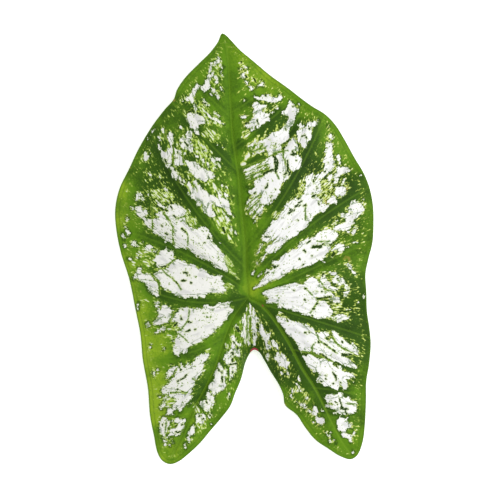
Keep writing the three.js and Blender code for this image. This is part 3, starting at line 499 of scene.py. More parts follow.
    "195,155.5 199,156 199.5,159 196,158.5", "264.5,271.5 267,268.5 270,269 269.5,272.5 265.5,273",
    "271.5,263 273,260.5 276,261 275.5,264.5 273,266", "303.5,323 306.5,323 306.5,327 304,327.5",
    "277.5,303.5 281.5,303.5 281.5,306.5 278,307", "266,299.5 269.5,299.5 269.5,302.5 266.5,302.5",
    "234,347.5 238,346.5 240,349 237.5,352 234.5,350.5", "341.5,291.5 347.5,291.5 347.5,295.5 344,296",
    "329,298 337,297.5 337,300 329.5,300.3", "319,283 321.5,282 323.5,287 321,290.5 319,287.5",
    "286.5,127.5 288,124 291,120.5 293,121.5 290.5,126 288,129",
    "271.5,152 275,149.5 278.5,150.5 276.5,153.5 272,154.5",
    "265.5,161.5 269,160.5 269.5,165.5 266,165.5",
    "245,170.5 249,169 253,167 254,168.5 249,172 245.5,172",
    "245.5,175.5 249,175.5 248.5,179.5 246,179.5", "251.5,174 255,173 254.5,177 252,177.5",
    "146,323 149.5,322.5 148.5,326 146,325.5", "160,330 166,327 165,330 161,332",
    "171,364 179,365.5 178.5,367.5 171.5,366.5", "172,392.5 175,391.5 175.5,395 172.5,395",
    "188,391.5 191.5,393 190.5,396.5 188,394.5", "160,405 163,404.5 162,408.5 160,408",
)

# Zones of pale yellow-green lace between green veinlets, outlines in chart units
LACE_ZONES: tuple[str, ...] = (
    "205,117 212,116 219,119 224,125 221,127 214,125 209,127 206,121",
    "201,133 207,131 209,137 205,139 201,136",
    "207,128 210,130 215,133 222,137 218,140 215,143 212,144 208,140 206,134",
    "213,66 218,64 222,60 221,66 217,69", "183,108 186,112 189,116 186,119 183,115",
    "200,101 204,107 208,110 212,114 209,118 203,115 199,108",
    "196,137 203,141 208,148 213,154 210,160 202,158 196,153 193,145",
    "199,157 206,159 210,164 205,168 199,164", "212,160 219,164 221,168 216,171 212,166",
    "222,172 226,173 230,176 225,176", "176,170 184,175 184,179 178,175",
    "208,180 214,184 220,189 228,192 231,195 229,199 222,197 214,192 209,186",
    "189,174 194,178 192,181 188,178",
    "210.5,204 218,206 222,210 224,214 228,220 231,227 233,234 229.5,236 222,234 219,231 217,225 "
    "216,219 217,214 214,210", "227.5,234 229,235 233.5,243 232,244 229,240",
    "151,191 163,189 170,192 175.5,198 172,202 160,202 153,199", "152,206 158,208 159,212 155,213",
    "186,218 190,216 196,216 198,220 196,225 190,226", "186,209 190,210 191,214 187,216",
    "136,252 143,249 153,248 158,251 152,254 148,256 140,257",
    "143,260 151,258 156,258 155,263 149,267 144,266", "130,261 136,262 136,266 132,265",
    "223,257 226,255 231,260 234,266 230,266 225,262", "226,268 231,269 236,274 233,275",
    "235,275 240,279 237,279", "222,283 229,282 235,286 232,288 225,287",
    "140,299 146,298 150,301 146,303 141,302", "172,320 178,322 180,327 177,331 172,328",
    "161,337 166,334 174,335 172,338 167,337", "165,329 172,327 175,331",
    "164,376 168,371 172,364 170,372 166,378", "200,360 206,362 205,370 201,374",
    "203,350 208,348 213,347 208,351", "167,397 174,396 177,399 174,404 170,407 167,406",
    "171,422 177,424 176,427 170,427", "223,341 228,344 230,349 225,350",
    "232,324 239,325 240,331 234,330", "229,333 234,333 236,342 231,344",
    "201,414 207,420 206,428 201,429 196,422", "193,402 199,401 200,412 195,413",
    "184,436 191,437 191,444 186,441", "239,63 243,62 246,67 248,73 249,78 245,78 241,72",
    "251,76 256,78 256,84 251,83", "262,105 267,108 268,116 262,121 256,122 253,116 255,108",
    "243,132 250,131 250,136 246,141 241,138",
    "244,146 252,142 257,136 263,138 263,142 255,145 248,148",
    "250,151 258,147 264,145 269,150 267,157 258,155",
    "242,171 250,167 258,164 266,160 269,168 266,173 258,177 250,181 246,179 246,174",
    "247,206 250,197 258,194 261,198 258,204 259.5,208 257,215 254.5,222 252,218 248,215 245,214 "
    "244.5,209", "241,155 249,153 250,157 243,158", "240,162 247,159 246,165 241,166",
    "271,213 276,211 279,215 276,219 271,218", "290,139 295,138 297,144 293,147 289,145",
    "299,181 305,179 305,189 302,192 298,190", "293,196 301,192 302,197 295,199",
    "320,181 328,180 332,185 331,190 322,196 320,190", "316,189 320,192 321,198 316,197",
    "322,190 330,192 331,199 325,204 320,199", "320,230 328,225 333,224 329,229",
    "336,243 345,240 345,244 339,245", "329,249 337,250 342,252 340,257 333,255",
    "311,245 320,246 318,250 312,249", "306,280 306,274 311,276",
    "315,279 315,274 319,273 324,273 324,279", "329,302 339,303 342,301 341,307 335,312 331,308",
    "340,311 347,312 345,315", "303,392 308,391 309,398 304,399", "293,388 299,386 298,392 294,392",
    "312,409 318,411 316,416 312,414", "278,311 286,314 285,318 279,315",
    "341,182 348,184 348,191 343,189", "318,338 322,340 321,344 317,342",
    "263,142 268,147 268,150 263,148",
)

# Thin dark veinlets that cross the white patches, as lines in chart units
VEINLETS: tuple[str, ...] = (
    "250,180 256,178 262,174.5 270,170.5", "266,159 270,156.5 275,154 282,152",
    "283,145 282.5,152 283,158 287,167", "275,163 274.5,168 275,173 279,180",
    "162,209.5 165,214 168,218.5 171,222 173.5,227 173.5,240 175.5,245",
    "182,228 187,231.5 188.5,236 188.5,246", "176,219.5 181,218 187,216", "152.5,204 153,217 153,228",
    "160,268 165,268 169,264 174,260", "153,275 157,278 160,283 160,295",
    "162,269 168,275 173,278 178,283 182,290", "173,310 172,317 169,321",
    "190,306 189.5,314 188.5,320 184,325.5 180.5,330", "178,332 183,336 188,340.5",
    "315,297 318,299 316,303 313,308 309,313", "304,287 308,291 312,295",
    "316,333 318,339 322,342 328,346 337,353", "331,336 335,342 340,346 346,349 352,352.5",
    "300,350.5 308,351 314,354 320,356 326,357 333,361", "323,292 327,290 334,291",
    "318,279 321,283 324,288", "166.5,420 166,426 165,433", "248,304 248,312 247,322 247,333 246.5,342",
    "251,316 250.3,325 250.5,334 251,343", "165,131 166,140", "174,147 174,156 173.5,164",
    "184,151 183,157 184,164", "200,161 204,165 206,169", "191,183 196,187 198,193",
    "345,403 350,403.5 356,403.3", "328,402.5 333,403.5", "316,241 322,242 330,241", "322,245 329,245",
    "305,204 304.5,213 305,221", "312,352 311,346 315,341", "282,152 288,151", "336,317 334,319",
    "171,391.5 178,391 184,391 188,391", "192,377 196,379",
    "242,169.3 254,164.8 266,160.3", "243,173.9 254,170.1 268,164.8", "245,178 255,174.4 268.5,169.5",
    "246,182 255,179 264,175.8", "246,149.4 256,146.3 264.5,143.8", "249.5,153.2 258,150.6 266,148.6",
    "245.5,207.3 252,200.8 259,195.5", "247.5,212.6 253.8,205.5 260,200.3", "251,217.5 257,210 260,206",
)

# Small dark flecks and slits in the white, as lines in chart units
DARK_MARKS: tuple[str, ...] = (
    "292.5,106.5 292.7,107.5", "285.3,130 285.7,131", "268.5,141 269.8,140.8", "276,144.3 276,145",
    "273.8,148.3 274.4,147.6", "257,120.5 257.7,124.5", "265,188.7 267,187 267.3,184.5",
    "275,164.5 275,172", "254.5,193.5 256,192.8", "270.5,198 271.5,196.5", "185,142.5 188,146.5",
    "181,143 181.3,144.3", "165.7,160.5 167.3,163.8", "174.5,158.5 177.3,158.7", "178,153 178.3,154",
    "160,208 168,211.3", "171.3,206.8 173,209.3", "174.3,215.5 176.5,217.5", "162,225.5 163.3,226.5",
    "166.3,233 168.3,234.7", "182.5,229 186.3,231.8", "209,235.5 209.3,238.5", "204.3,243 205.5,242.6",
    "198.3,256.2 198.6,256.6", "161,267.5 168.5,265", "177,282 178.5,283.2", "184,272.3 187.5,273",
    "188,275 190.5,275.2", "182,280 186.5,280.3", "172,277 174,278.5", "191.3,282.3 191.8,282.7",
    "168,289.5 168.3,289.8", "181,315.5 182,318.7", "185,331 190,329.7", "191,321.3 192,321.3",
    "195,329 195.8,328.7", "182.5,308 183,308.5", "178,380 182,378 187,374", "181,369 181.7,368.5",
    "178,387.5 178.2,388.7", "182.5,390 183,390.5", "162.7,424.3 162.9,424.8", "175.5,425.5 177,425.2",
    "176,431.7 180,431.2", "181.5,424 183.5,423.8", "206.2,401 206.8,402", "199,415.5 201,415.3",
    "203,419 203.6,418", "209.7,415 210.5,415", "219,368.5 219.3,370", "222,371 222.5,372",
    "222,376 222.3,381", "233,352.5 233.3,354", "232.7,358 232.3,360", "232.4,371 232.6,372.3",
    "238,346.5 238,348", "257.7,319.5 258,320", "257.5,323.5 258.3,326", "254.3,333.5 254.7,335",
    "303.8,331.5 305,332", "308.5,331 308.7,331.4", "287,319.5 287.8,320.3", "341.3,341.2 341.8,341.5",
    "324,343 326.5,344.6", "332.5,348.7 334.3,350.8", "318,341 318.3,342.3",
    "332,371.5 335,375.5 335.5,379.5", "324.5,374 326,374.3", "324.8,378 325.2,378.4",
    "320.3,380.3 321,380.7", "332.3,382.2 332.8,382.6", "339.7,381.5 340.3,382",
    "342,408.5 347.5,408.5", "335,401.5 336.8,403", "330.5,403 331.7,403.5", "339,398.7 339.4,399.8",
    "345.8,412 346.3,414", "340.5,402.5 341.5,404", "306,243 309.3,241", "311,255.7 312,255.9",
    "302,264.7 303,264.3", "303,250 304.8,251.7", "299,259 299.5,259.3", "297,220.3 297.5,220.5",
    "303,206 305.5,205.3", "290,212.5 293.5,210", "295,206.7 298,206", "318,202.5 318.3,205",
    "287.5,214 289,212.5", "264.5,236.7 269.5,236.9", "272,265.3 273.5,266", "274,267.5 278,265",
    "266.5,273 268,272", "304.6,288 305,288.5", "321,291.3 321.5,291.5", "315,290.3 316,290.6",
    "293,289.8 293.6,290", "311.5,314.4 311.8,314.8", "304,299 304.4,299.3", "315.8,304.3 317,303",
    "312,308.5 313.5,308.7", "336.3,278.5 337,278.7", "332.5,318 333.5,318.8", "295.6,161.5 296,161.7",
    "327,163 327.7,163.5", "324,172.5 325,171.7", "302,137 304.5,136.2", "308.7,129.5 309.3,130",
    "305.7,138.3 306.3,138.5", "312.5,180.5 313,183", "316,187 316.5,188.5", "275,190 275.6,190.3",
    "297.5,199 299,198.6", "350.3,213.3 351,213.6", "356.5,229 357,229.3", "341.5,284.8 343,284.4",
    "347,287.3 348.3,287.5", "272.5,157 276.5,160 277,165 276,170", "274.5,158 275,168",
    "263.5,175.5 267,172.5 272,170.5 277,169", "264.5,173.5 271,171.5 276,172.5",
    "287,161 287,168 288.5,175.5 290,173", "283,175.5 286,174", "290.5,155.5 295.5,154.5",
    "292.5,152 293.5,156", "286.5,142.5 290,140.5", "283,149.5 286,146.5",
    "311.5,247.5 320.5,247.5 322.5,243", "312,246 320,246", "329,245.5 333,242", "331,256.5 334.5,253",
    "333,251 332.5,256", "341.5,353.5 352,353.5", "342,355 350,354", "340,408 347,408",
    "341,406.5 345,409.5", "344.5,184 347.5,184", "327,191 329.5,193", "294.5,206.5 299.5,206",
    "298,203.5 301.5,201.5", "311.5,197 315,195.5", "312.5,193.5 314,197", "288,214 290,210",
    "188.5,113 194,111.5", "192,110.5 194.5,113", "197.5,113.5 202,115.3", "201,103 205.5,104",
    "211,124.4 211.8,124.7", "223.5,228 225.5,233", "169.5,198.5 172.5,204", "208.5,238.5 211.5,238.5",
    "180,181.5 183,183", "236,326 239,331", "238,327 240,331", "233.5,341 235.5,344",
    "229.5,363.5 237,363", "231,352 233,352", "174,326 178,322.5", "189,321 191,321.5",
    "335,363.5 337,366.5", "328,335.5 329.5,333.5", "322,353.5 326,357", "323,273.5 322,276",
    "316,298.5 322,297.5 330,295.5", "265.5,95 266,97", "246,123.5 249.5,124.5",
    "241.3,61.5 241.6,63", "243.4,68.3 243.8,69.6", "245.8,76.3 246.4,77.2", "254,79 255.5,82",
)


def chart_chain(text: str) -> np.ndarray:
    """Chart places from a text of "x,y" pairs with spaces between them."""
    return np.array([[float(value) for value in pair.split(",")] for pair in text.split()])


@dataclass(frozen=True)
class Line:
    """A smooth plan line as a dense chain of points, with the distance along it at each point."""

    points: np.ndarray
    closed: bool = False

    @classmethod
    def through(cls, places: np.ndarray, closed: bool = False, samples: int = 60) -> "Line":
        """A centripetal Catmull-Rom line through places.

        Each span is a cubic whose end tangents come from its neighbours, with the square root of
        the distance between places as the step of the curve's parameter.

        Args:
            places: the places, one row each.
            closed: whether the line returns to its first place.
            samples: points in each span.

        Returns:
            The line.
        """
        if closed:
            knots = np.vstack([places[-1:], places, places[:2]])
        else:
            knots = np.vstack([2 * places[:1] - places[1:2], places, 2 * places[-1:] - places[-2:-1]])
        p0, p1, p2, p3 = (knots[k:len(knots) - 3 + k, None, :] for k in range(4))
        d0, d1, d2 = (np.sqrt(np.linalg.norm(b - a, axis=2, keepdims=True))
                      for a, b in ((p0, p1), (p1, p2), (p2, p3)))
        first = d1 * ((p1 - p0) / d0 - (p2 - p0) / (d0 + d1) + (p2 - p1) / d1)
        last = d1 * ((p2 - p1) / d1 - (p3 - p1) / (d1 + d2) + (p3 - p2) / d2)
        t = np.linspace(0, 1, samples, endpoint=False)[None, :, None]
        span = (p1 + first * t + (3 * (p2 - p1) - 2 * first - last) * t**2
                + (2 * (p1 - p2) + first + last) * t**3)
        chain = span.reshape(-1, places.shape[1])
        return cls(np.vstack([chain, chain[:1] if closed else places[-1:]]), closed)

    @property
    def reach(self) -> np.ndarray:
        """Distance along the line at each of its points."""
        steps = np.linalg.norm(np.diff(self.points, axis=0), axis=1)
        return np.concatenate([[0.0], np.cumsum(steps)])

    @property
    def length(self) -> float:
        """Length of the whole line."""
        return float(self.reach[-1])

    def at(self, distance: np.ndarray) -> np.ndarray:
        """Points of the line at distances along it, with a closed line taken round and round.

        Args:
            distance: distances from the line's first point.

        Returns:
            The points, one row each.
        """
        reach = self.reach
        wanted = np.mod(distance, reach[-1]) if self.closed else distance
        return np.stack([np.interp(wanted, reach, axis) for axis in self.points.T], axis=-1)

    def nearest(self, place: np.ndarray) -> float:
        """Distance along the line of its point nearest to a place."""
        gaps = np.linalg.norm(self.points[:-1] - place, axis=1)
        return float(self.reach[int(np.argmin(gaps))])


def ease(x: np.ndarray) -> np.ndarray:
    """Smooth step from 0 to 1 as x goes from 0 to 1: three x squared less two x cubed."""
    held = np.clip(x, 0, 1)
    return held * held * (3 - 2 * held)


@dataclass(frozen=True)
class Columns:
    """Columns of the blade, one array entry each, in one clockwise walk from left of the tip.

    A column has its side of a main vein, the number of its spine point and the share along the vein
    where that lies, the distance round the margin where it ends, its bow along and across its chord
    as shares of the chord, and how much the blade swells there.
    """

    flank: np.ndarray
    spine: np.ndarray
    share: np.ndarray
    margin: np.ndarray
    along: np.ndarray
    across: np.ndarray
    swell: np.ndarray

    def pick(self, index: slice | np.ndarray) -> "Columns":
        """Some of the columns, in the order given."""
        return Columns(**{item.name: getattr(self, item.name)[index] for item in fields(self)})

    @staticmethod
    def joined(parts: list["Columns"]) -> "Columns":
        """Several runs of columns one after another."""
        names = [item.name for item in fields(Columns)]
        return Columns(**{name: np.concatenate([getattr(part, name) for part in parts]) for name in names})


@dataclass
class LeafPlan:
    """The leaf seen from above in millimetres: margin, main veins and columns from vein to margin."""

    length_mm: float
    column_step_mm: float = 1.3
    swell_full_gap_mm: float = 26.0
    load_samples: int = 2000
    unit_mm: float = field(init=False)
    middle: np.ndarray = field(init=False)
    margin: Line = field(init=False)
    veins: dict[Flank, Line] = field(init=False)
    spine_points: np.ndarray = field(init=False)
    spine_shares: np.ndarray = field(init=False)
    columns: Columns = field(init=False)

    def __post_init__(self) -> None:
        """Works out the scale, the main lines and the walk of columns."""
        outline = Line.through(np.array(MARGIN), closed=True).points
        low, high = outline.min(0), outline.max(0)
        self.unit_mm = self.length_mm / (high[1] - low[1])
        self.middle = (low + high) / 2
        self.margin = Line.through(self.place(MARGIN), closed=True)
        midrib, right, left = (Line.through(self.place(vein)) for vein in (MIDRIB, RIGHT_BASAL, LEFT_BASAL))
        self.veins = {
            Flank.MIDRIB_RIGHT: midrib, Flank.MIDRIB_LEFT: midrib,
            Flank.RIGHT_OUTER: right, Flank.RIGHT_INNER: right,
            Flank.LEFT_OUTER: left, Flank.LEFT_INNER: left,
        }
        self.columns = self.walk()

    def place(self, chart: np.ndarray | Place | Chain) -> np.ndarray:
        """Chart places in millimetres from the middle of the leaf's box, y turned up the leaf."""
        return (np.asarray(chart, float) - self.middle) * (self.unit_mm, -self.unit_mm)

    def guide_table(self, flank: Flank) -> dict[str, np.ndarray]:
        """Guide values of one side, one array entry for each guide.

        The bow of a guide is split along and across the chord from its start to its end, both as
        shares of the chord.

        Args:
            flank: the side.

        Returns:
            Arrays named share, margin, along, across and is_vein.
        """
        vein = self.veins[flank]
        guides = GUIDES[flank]
        start, bow, end = (
            self.place([getattr(guide, name) for guide in guides]) for name in ("start", "bow", "end")
        )
        chord = end - start
        off = bow - (start + end) / 2
        square = (chord**2).sum(1)
        turn = self.margin.length if flank is Flank.MIDRIB_LEFT else 0.0
        return {
            "share": np.array([vein.nearest(place) for place in start[:-1]] + [vein.length]) / vein.length,
            "margin": np.array([self.margin.nearest(place) for place in end]) - turn,
            "along": (off * chord).sum(1) / square,
            "across": (off[:, 1] * chord[:, 0] - off[:, 0] * chord[:, 1]) / square,
            "is_vein": np.array([guide.is_vein for guide in guides]),
        }

    def spine_steps(self, pair: tuple[Flank, Flank]) -> np.ndarray:
        """Shares along a main vein where columns start, closer together where long margins are fed.

        The load of a piece of the vein is the longest of its own length and the two margins that it
        feeds, and each step takes the same load.

        Args:
            pair: the vein's two sides.

        Returns:
            The shares, one step of the walk apart.
        """
        vein = self.veins[pair[0]]
        shares = np.linspace(0, 1, self.load_samples + 1)
        reaches = [np.full(self.load_samples, vein.length / self.load_samples)]
        for flank in pair:
            table = self.guide_table(flank)
            reaches.append(np.abs(np.diff(np.interp(shares, table["share"], table["margin"]))))
        load = np.concatenate([[0.0], np.cumsum(np.max(reaches, axis=0))])
        count = round(load[-1] / self.column_step_mm)
        return np.interp(np.linspace(0, load[-1], count + 1), load, shares)

    def side_columns(self, flank: Flank, shares: np.ndarray, spine: np.ndarray) -> Columns:
        """Columns on one side of a main vein, from the junction outwards.

        The swell is half a sine wave between one vein and the next, lower where they are close.

        Args:
            flank: the side.
            shares: shares along the main vein where the columns start.
            spine: indices of the spine points there.

        Returns:
            The columns.
        """
        table = self.guide_table(flank)
        names = ("margin", "along", "across")
        values = {name: np.interp(shares, table["share"], table[name]) for name in names}
        swell = np.zeros(len(shares))
        veins = np.flatnonzero(table["is_vein"])
        for near, far in zip(veins[:-1], veins[1:]):
            low, high = table["margin"][near], table["margin"][far]
            phase = np.clip((values["margin"] - low) / (high - low), 0, 1)
            swell += np.sin(np.pi * phase) * min(1.0, abs(high - low) / self.swell_full_gap_mm)
        return Columns(np.full(len(shares), flank.value), spine, shares, **values, swell=swell)

    def fan(self, start: Columns, stop: Columns) -> Columns:
        """Columns that fan out from one spine point between two neighbouring columns.

        Args:
            start: the column before the fan.
            stop: the column after it.

        Returns:
            The columns between them, evenly spaced along the margin.
        """
        span = stop.margin[0] - start.margin[0]
        count = max(2, round(span / self.column_step_mm))
        t = np.arange(1, count) / count
        spread = start.pick(np.zeros(len(t), int))
        return Columns(
            spread.flank, spread.spine, spread.share, start.margin[0] + span * t,
            np.zeros(len(t)), start.across[0] + (stop.across[0] - start.across[0]) * t, np.zeros(len(t)),
        )

    def walk(self) -> Columns:
        """All columns clockwise round the main veins, starting left of the midrib's tip.

        Returns:
            The columns; the spine's points and shares are kept on the way.
        """
        sides: dict[Flank, Columns] = {}
        points = [self.place([JUNCTION])]
        shares = [np.zeros(1)]
        count = 1
        for pair in (
            (Flank.MIDRIB_RIGHT, Flank.MIDRIB_LEFT), (Flank.RIGHT_OUTER, Flank.RIGHT_INNER),
            (Flank.LEFT_INNER, Flank.LEFT_OUTER),
        ):
            steps = self.spine_steps(pair)
            vein = self.veins[pair[0]]
            spine = np.concatenate([[0], np.arange(count, count + len(steps) - 1)])
            count += len(steps) - 1
            points.append(vein.at(steps[1:] * vein.length))
            shares.append(steps[1:])
            for flank in pair:
                sides[flank] = self.side_columns(flank, steps, spine)
        self.spine_points = np.vstack(points)
        self.spine_shares = np.concatenate(shares)
        last, first, back = slice(-1, None), slice(0, 1), slice(None, None, -1)
        return Columns.joined([
            self.fan(sides[Flank.MIDRIB_LEFT].pick(last), sides[Flank.MIDRIB_RIGHT].pick(last)),
            sides[Flank.MIDRIB_RIGHT].pick(back),
            sides[Flank.RIGHT_OUTER].pick(slice(1, None)),
            self.fan(sides[Flank.RIGHT_OUTER].pick(last), sides[Flank.RIGHT_INNER].pick(last)),
            sides[Flank.RIGHT_INNER].pick(back),
            self.fan(sides[Flank.RIGHT_INNER].pick(first), sides[Flank.LEFT_INNER].pick(first)),
            sides[Flank.LEFT_INNER],
            self.fan(sides[Flank.LEFT_INNER].pick(last), sides[Flank.LEFT_OUTER].pick(last)),
            sides[Flank.LEFT_OUTER].pick(back),
            sides[Flank.MIDRIB_LEFT].pick(slice(1, None)),
        ])

    def side_veins(self) -> list[np.ndarray]:
        """Side veins as chains of plan points in millimetres, from main vein to margin."""
        return [self.place(guide.line()) for guides in GUIDES.values() for guide in guides if guide.is_vein]


def near_chain(points: np.ndarray, chain: np.ndarray, room: float) -> np.ndarray:
    """Numbers of the points that lie in a chain's box made wider by the room."""
    return np.flatnonzero(np.all((points > chain.min(0) - room) & (points < chain.max(0) + room), axis=1))


def feet(points: np.ndarray, start: np.ndarray, step: np.ndarray) -> tuple[np.ndarray, ...]:
    """Feet of points on straight pieces: the projections, held between the pieces' ends.

    Args:
        points: plan points, one row each.
        start: where each piece starts.
        step: from the start to the end of each piece.

    Returns:
        The gap from each start to each point, the foot's share of the piece, and the distance to it.
    """
    gap = points[:, None, :] - start[None]
    share = np.clip((gap * step).sum(2) / np.maximum((step**2).sum(1), TINY), 0, 1)
    return gap, share, np.linalg.norm(gap - share[..., None] * step, axis=2)


def offset_from_lines(
    points: np.ndarray, lines: list[np.ndarray], room: float,
) -> tuple[np.ndarray, np.ndarray]:
    """Signed offset of points from the nearest of several lines, and how far along that line they are.

    The offset is the distance to the nearest foot, positive to the left of the piece's direction.

    Args:
        points: plan points, one row each.
        lines: chains of plan points.
        room: distance past which a line isn't looked at.

    Returns:
        Offsets, held to the room, and shares along the line, both one entry for each point.
    """
    offset = np.full(len(points), room)
    share = np.ones(len(points))
    for line in lines:
        index = near_chain(points, line, room)
        if len(index) == 0:
            continue
        step = np.diff(line, axis=0)
        gap, t, away = feet(points[index], line[:-1], step)
        best = away.argmin(1)
        row = np.arange(len(index))
        side = np.sign(step[best, 0] * gap[row, best, 1] - step[best, 1] * gap[row, best, 0])
        closer = away[row, best] < np.abs(offset[index])
        offset[index[closer]] = (away[row, best] * np.where(side == 0, 1, side))[closer]
        share[index[closer]] = ((best + t[row, best]) / len(step))[closer]
    return offset, share


def depth_in_patches(points: np.ndarray, patches: list[np.ndarray], room: float) -> np.ndarray:
    """Depth of points inside the nearest of several patches, negative outside, held to the room.

    The depth is the distance to the patch's outline; a point is inside where a line from it towards
    +x crosses the outline an odd number of times.

    Args:
        points: plan points, one row each.
        patches: closed chains of plan points, first point not repeated.
        room: distance past which a patch isn't looked at.

    Returns:
        One depth for each point.
    """
    depth = np.full(len(points), -room)
    for start in patches:
        index = near_chain(points, start, room)
        if len(index) == 0:
            continue
        stop = np.roll(start, -1, axis=0)
        step = stop - start
        spot = points[index]
        gap, _, away = feet(spot, start, step)
        away = away.min(1)
        level = (start[:, 1] > spot[:, 1:]) != (stop[:, 1] > spot[:, 1:])
        crossing = start[:, 0] + gap[..., 1] * step[:, 0] / np.where(step[:, 1] == 0, TINY, step[:, 1])
        inside = (level & (spot[:, :1] < crossing)).sum(1) % 2 == 1
        depth[index] = np.maximum(depth[index], np.where(inside, away, -away))
    return depth


def new_piece(name: str, points: np.ndarray, faces: np.ndarray) -> bpy.types.Object:
    """A smooth mesh object at the origin from points in millimetres and triangles.

    Args:
        name: the piece's name.
        points: its vertices, one row each.
        faces: vertex numbers, three to a row.

    Returns:
        The piece, linked to the scene.
    """
    mesh = bpy.data.meshes.new(name)
    mesh.vertices.add(len(points))
    mesh.vertices.foreach_set("co", (points * METRES).astype(np.float32).ravel())
    mesh.loops.add(faces.size)
    mesh.loops.foreach_set("vertex_index", faces.astype(np.int32).ravel())
    mesh.polygons.add(len(faces))
    mesh.polygons.foreach_set("loop_start", np.arange(0, faces.size, 3, dtype=np.int32))
    mesh.polygons.foreach_set("use_smooth", np.ones(len(faces), bool))
    mesh.update(calc_edges=True)
    mesh.validate()
    piece = bpy.data.objects.new(name, mesh)
    bpy.context.scene.collection.objects.link(piece)
    return piece


def give_values(piece: bpy.types.Object, name: str, values: np.ndarray) -> None:
    """Stores one number for each of the piece's vertices under a name that its finish reads."""
    layer = piece.data.attributes.new(name, "FLOAT", "POINT")
    layer.data.foreach_set("value", values.astype(np.float32))


def finish_piece(piece: bpy.types.Object, finishes: list[bpy.types.Material]) -> bpy.types.Object:
    """Gives a piece its finishes and its body, and hides the imported leaf node that it stands in for.

    Args:
        piece: the piece.
        finishes: its materials, in the order of their numbers.

    Returns:
        The same piece.
    """
    for finish in finishes:
        piece.data.materials.append(finish)
    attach(piece, "root")
    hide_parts(LEAF_NODE)
    log.info("%s: %d triangles", piece.name, len(piece.data.polygons))
    return piece


def linear(hex_colour: str) -> Colour:
    """A hex colour such as "#5a8f2b" in linear light with full alpha."""
    shares = [int(hex_colour[k:k + 2], 16) / 255 for k in (1, 3, 5)]
    return (*(s / 12.92 if s <= 0.04045 else ((s + 0.055) / 1.055) ** 2.4 for s in shares), 1.0)


def add_node(
    tree: Tree, kind: str, inputs: dict | None = None, out: int | str = 0, **settings: object,
) -> Socket | None:
    """Adds a node with its settings and links.

    Args:
        tree: the material's node tree.
        kind: Blender's name of the node.
        inputs: for each input's name or number, the socket that feeds it or its value.
        out: the name or number of the output to return.
        settings: the node's own properties.

    Returns:
        The output socket, or None where the node has no output.
    """
    node = tree.nodes.new(kind)
    for key, value in settings.items():
        setattr(node, key, value)
    for key, value in (inputs or {}).items():
        if isinstance(value, Socket):
            tree.links.new(value, node.inputs[key])
        else:
            node.inputs[key].default_value = value
    return node.outputs[out] if len(node.outputs) else None


@dataclass(frozen=True)
class ToneSpot:
    """How bright the green is at a place, from 0 to 1, and how far that spreads in chart units."""

    place: Place
    tone: float
    spread: float


# Where the green is darker or brighter than the rest: right edge from the tip down, left edge, along the
# midrib, and between the basal veins and the sinus
# Partly the green's own tone and partly painted light: the brighter green along the upper right edge is a
# painted highlight, and the darker green left of the midrib and on the sinus side of the right basal vein is
# painted shade
TONE_SPOTS: tuple[ToneSpot, ...] = (
    ToneSpot((240, 54), 0.7, 12), ToneSpot((265, 78), 0.8, 14), ToneSpot((300, 104), 0.55, 20),
    ToneSpot((345, 150), 0.62, 20), ToneSpot((368, 215), 0.25, 16), ToneSpot((362, 265), 0.3, 18),
    ToneSpot((364, 325), -0.1, 16), ToneSpot((362, 385), 0.38, 16), ToneSpot((350, 446), 0.55, 14),
    ToneSpot((196, 80), 0.45, 16), ToneSpot((166, 116), 0.2, 18), ToneSpot((136, 170), 0.4, 18),
    ToneSpot((120, 218), 0.8, 14), ToneSpot((132, 270), 0.75, 16), ToneSpot((146, 345), 0.95, 16),
    ToneSpot((154, 405), 1.05, 14), ToneSpot((168, 455), 0.75, 12), ToneSpot((233, 130), 0.4, 22),
    ToneSpot((234, 200), 0.3, 18), ToneSpot((257, 235), 0.5, 12), ToneSpot((253, 289), 1.4, 7),
    ToneSpot((243, 304), 0.0, 8), ToneSpot((258, 311), 0.0, 8), ToneSpot((226, 150), 0.0, 14),
    ToneSpot((290, 350), -0.2, 26),
    ToneSpot((275, 322), -0.2, 14), ToneSpot((290, 402), 0.3, 14), ToneSpot((230, 392), 0.5, 14),
    ToneSpot((222, 330), 0.5, 18), ToneSpot((190, 300), 0.15, 20), ToneSpot((305, 262), 0.3, 24),
    ToneSpot((192, 118), 0.0, 16), ToneSpot((160, 182), -0.2, 26), ToneSpot((288, 134), -0.25, 20),
    ToneSpot((325, 182), -0.4, 24), ToneSpot((345, 215), 0.1, 14), ToneSpot((345, 300), -0.2, 18),
    ToneSpot((340, 370), -0.1, 20), ToneSpot((160, 276), -0.1, 14), ToneSpot((262, 284), 0.8, 11),
    ToneSpot((150, 380), 0.85, 12), ToneSpot((190, 425), 0.65, 14), ToneSpot((303, 436), 0.65, 12),
    ToneSpot((212, 112), 0.5, 10), ToneSpot((264, 112), 0.1, 10), ToneSpot((228, 372), 0.15, 10),
    ToneSpot((273, 296), 0.7, 11), ToneSpot((138, 308), 0.88, 12), ToneSpot((124, 188), 1.2, 9),
    ToneSpot((205, 395), 0.0, 10), ToneSpot((237, 160), 0.6, 7), ToneSpot((281, 190), -0.1, 10),
)
TONE_ELSEWHERE = 0.25
TONE_ELSEWHERE_WEIGHT = 0.1

# Blushes, each a chain of places and its half-width in chart units: brown ones, and the crimson ones
# at the top of the sinus
BLUSHES: tuple[tuple[Chain, float], ...] = (
    (((343, 259), (345.5, 256.6), (349, 258), (349, 261)), 1.3), (((325, 199), (325.5, 204)), 1.2),
    (((346, 186), (346.5, 190)), 1.1), (((174, 99.8), (174.6, 101)), 1.3),
    (((130, 167), (130.6, 168)), 1.2), (((284.5, 404), (285.4, 405)), 1.3),
    (((307, 430), (307.6, 431)), 1.2), (((315, 439.5), (315.8, 440)), 1.2),
)
CRIMSON_BLUSHES: tuple[tuple[Chain, float], ...] = (
    (((251.5, 350.6), (254.3, 348.6), (257, 350)), 1.3), (((250, 353), (251.5, 351)), 0.5),
    (((258, 351.5), (261, 354.5)), 0.4), (((262, 304.5), (263.2, 306)), 0.7),
)


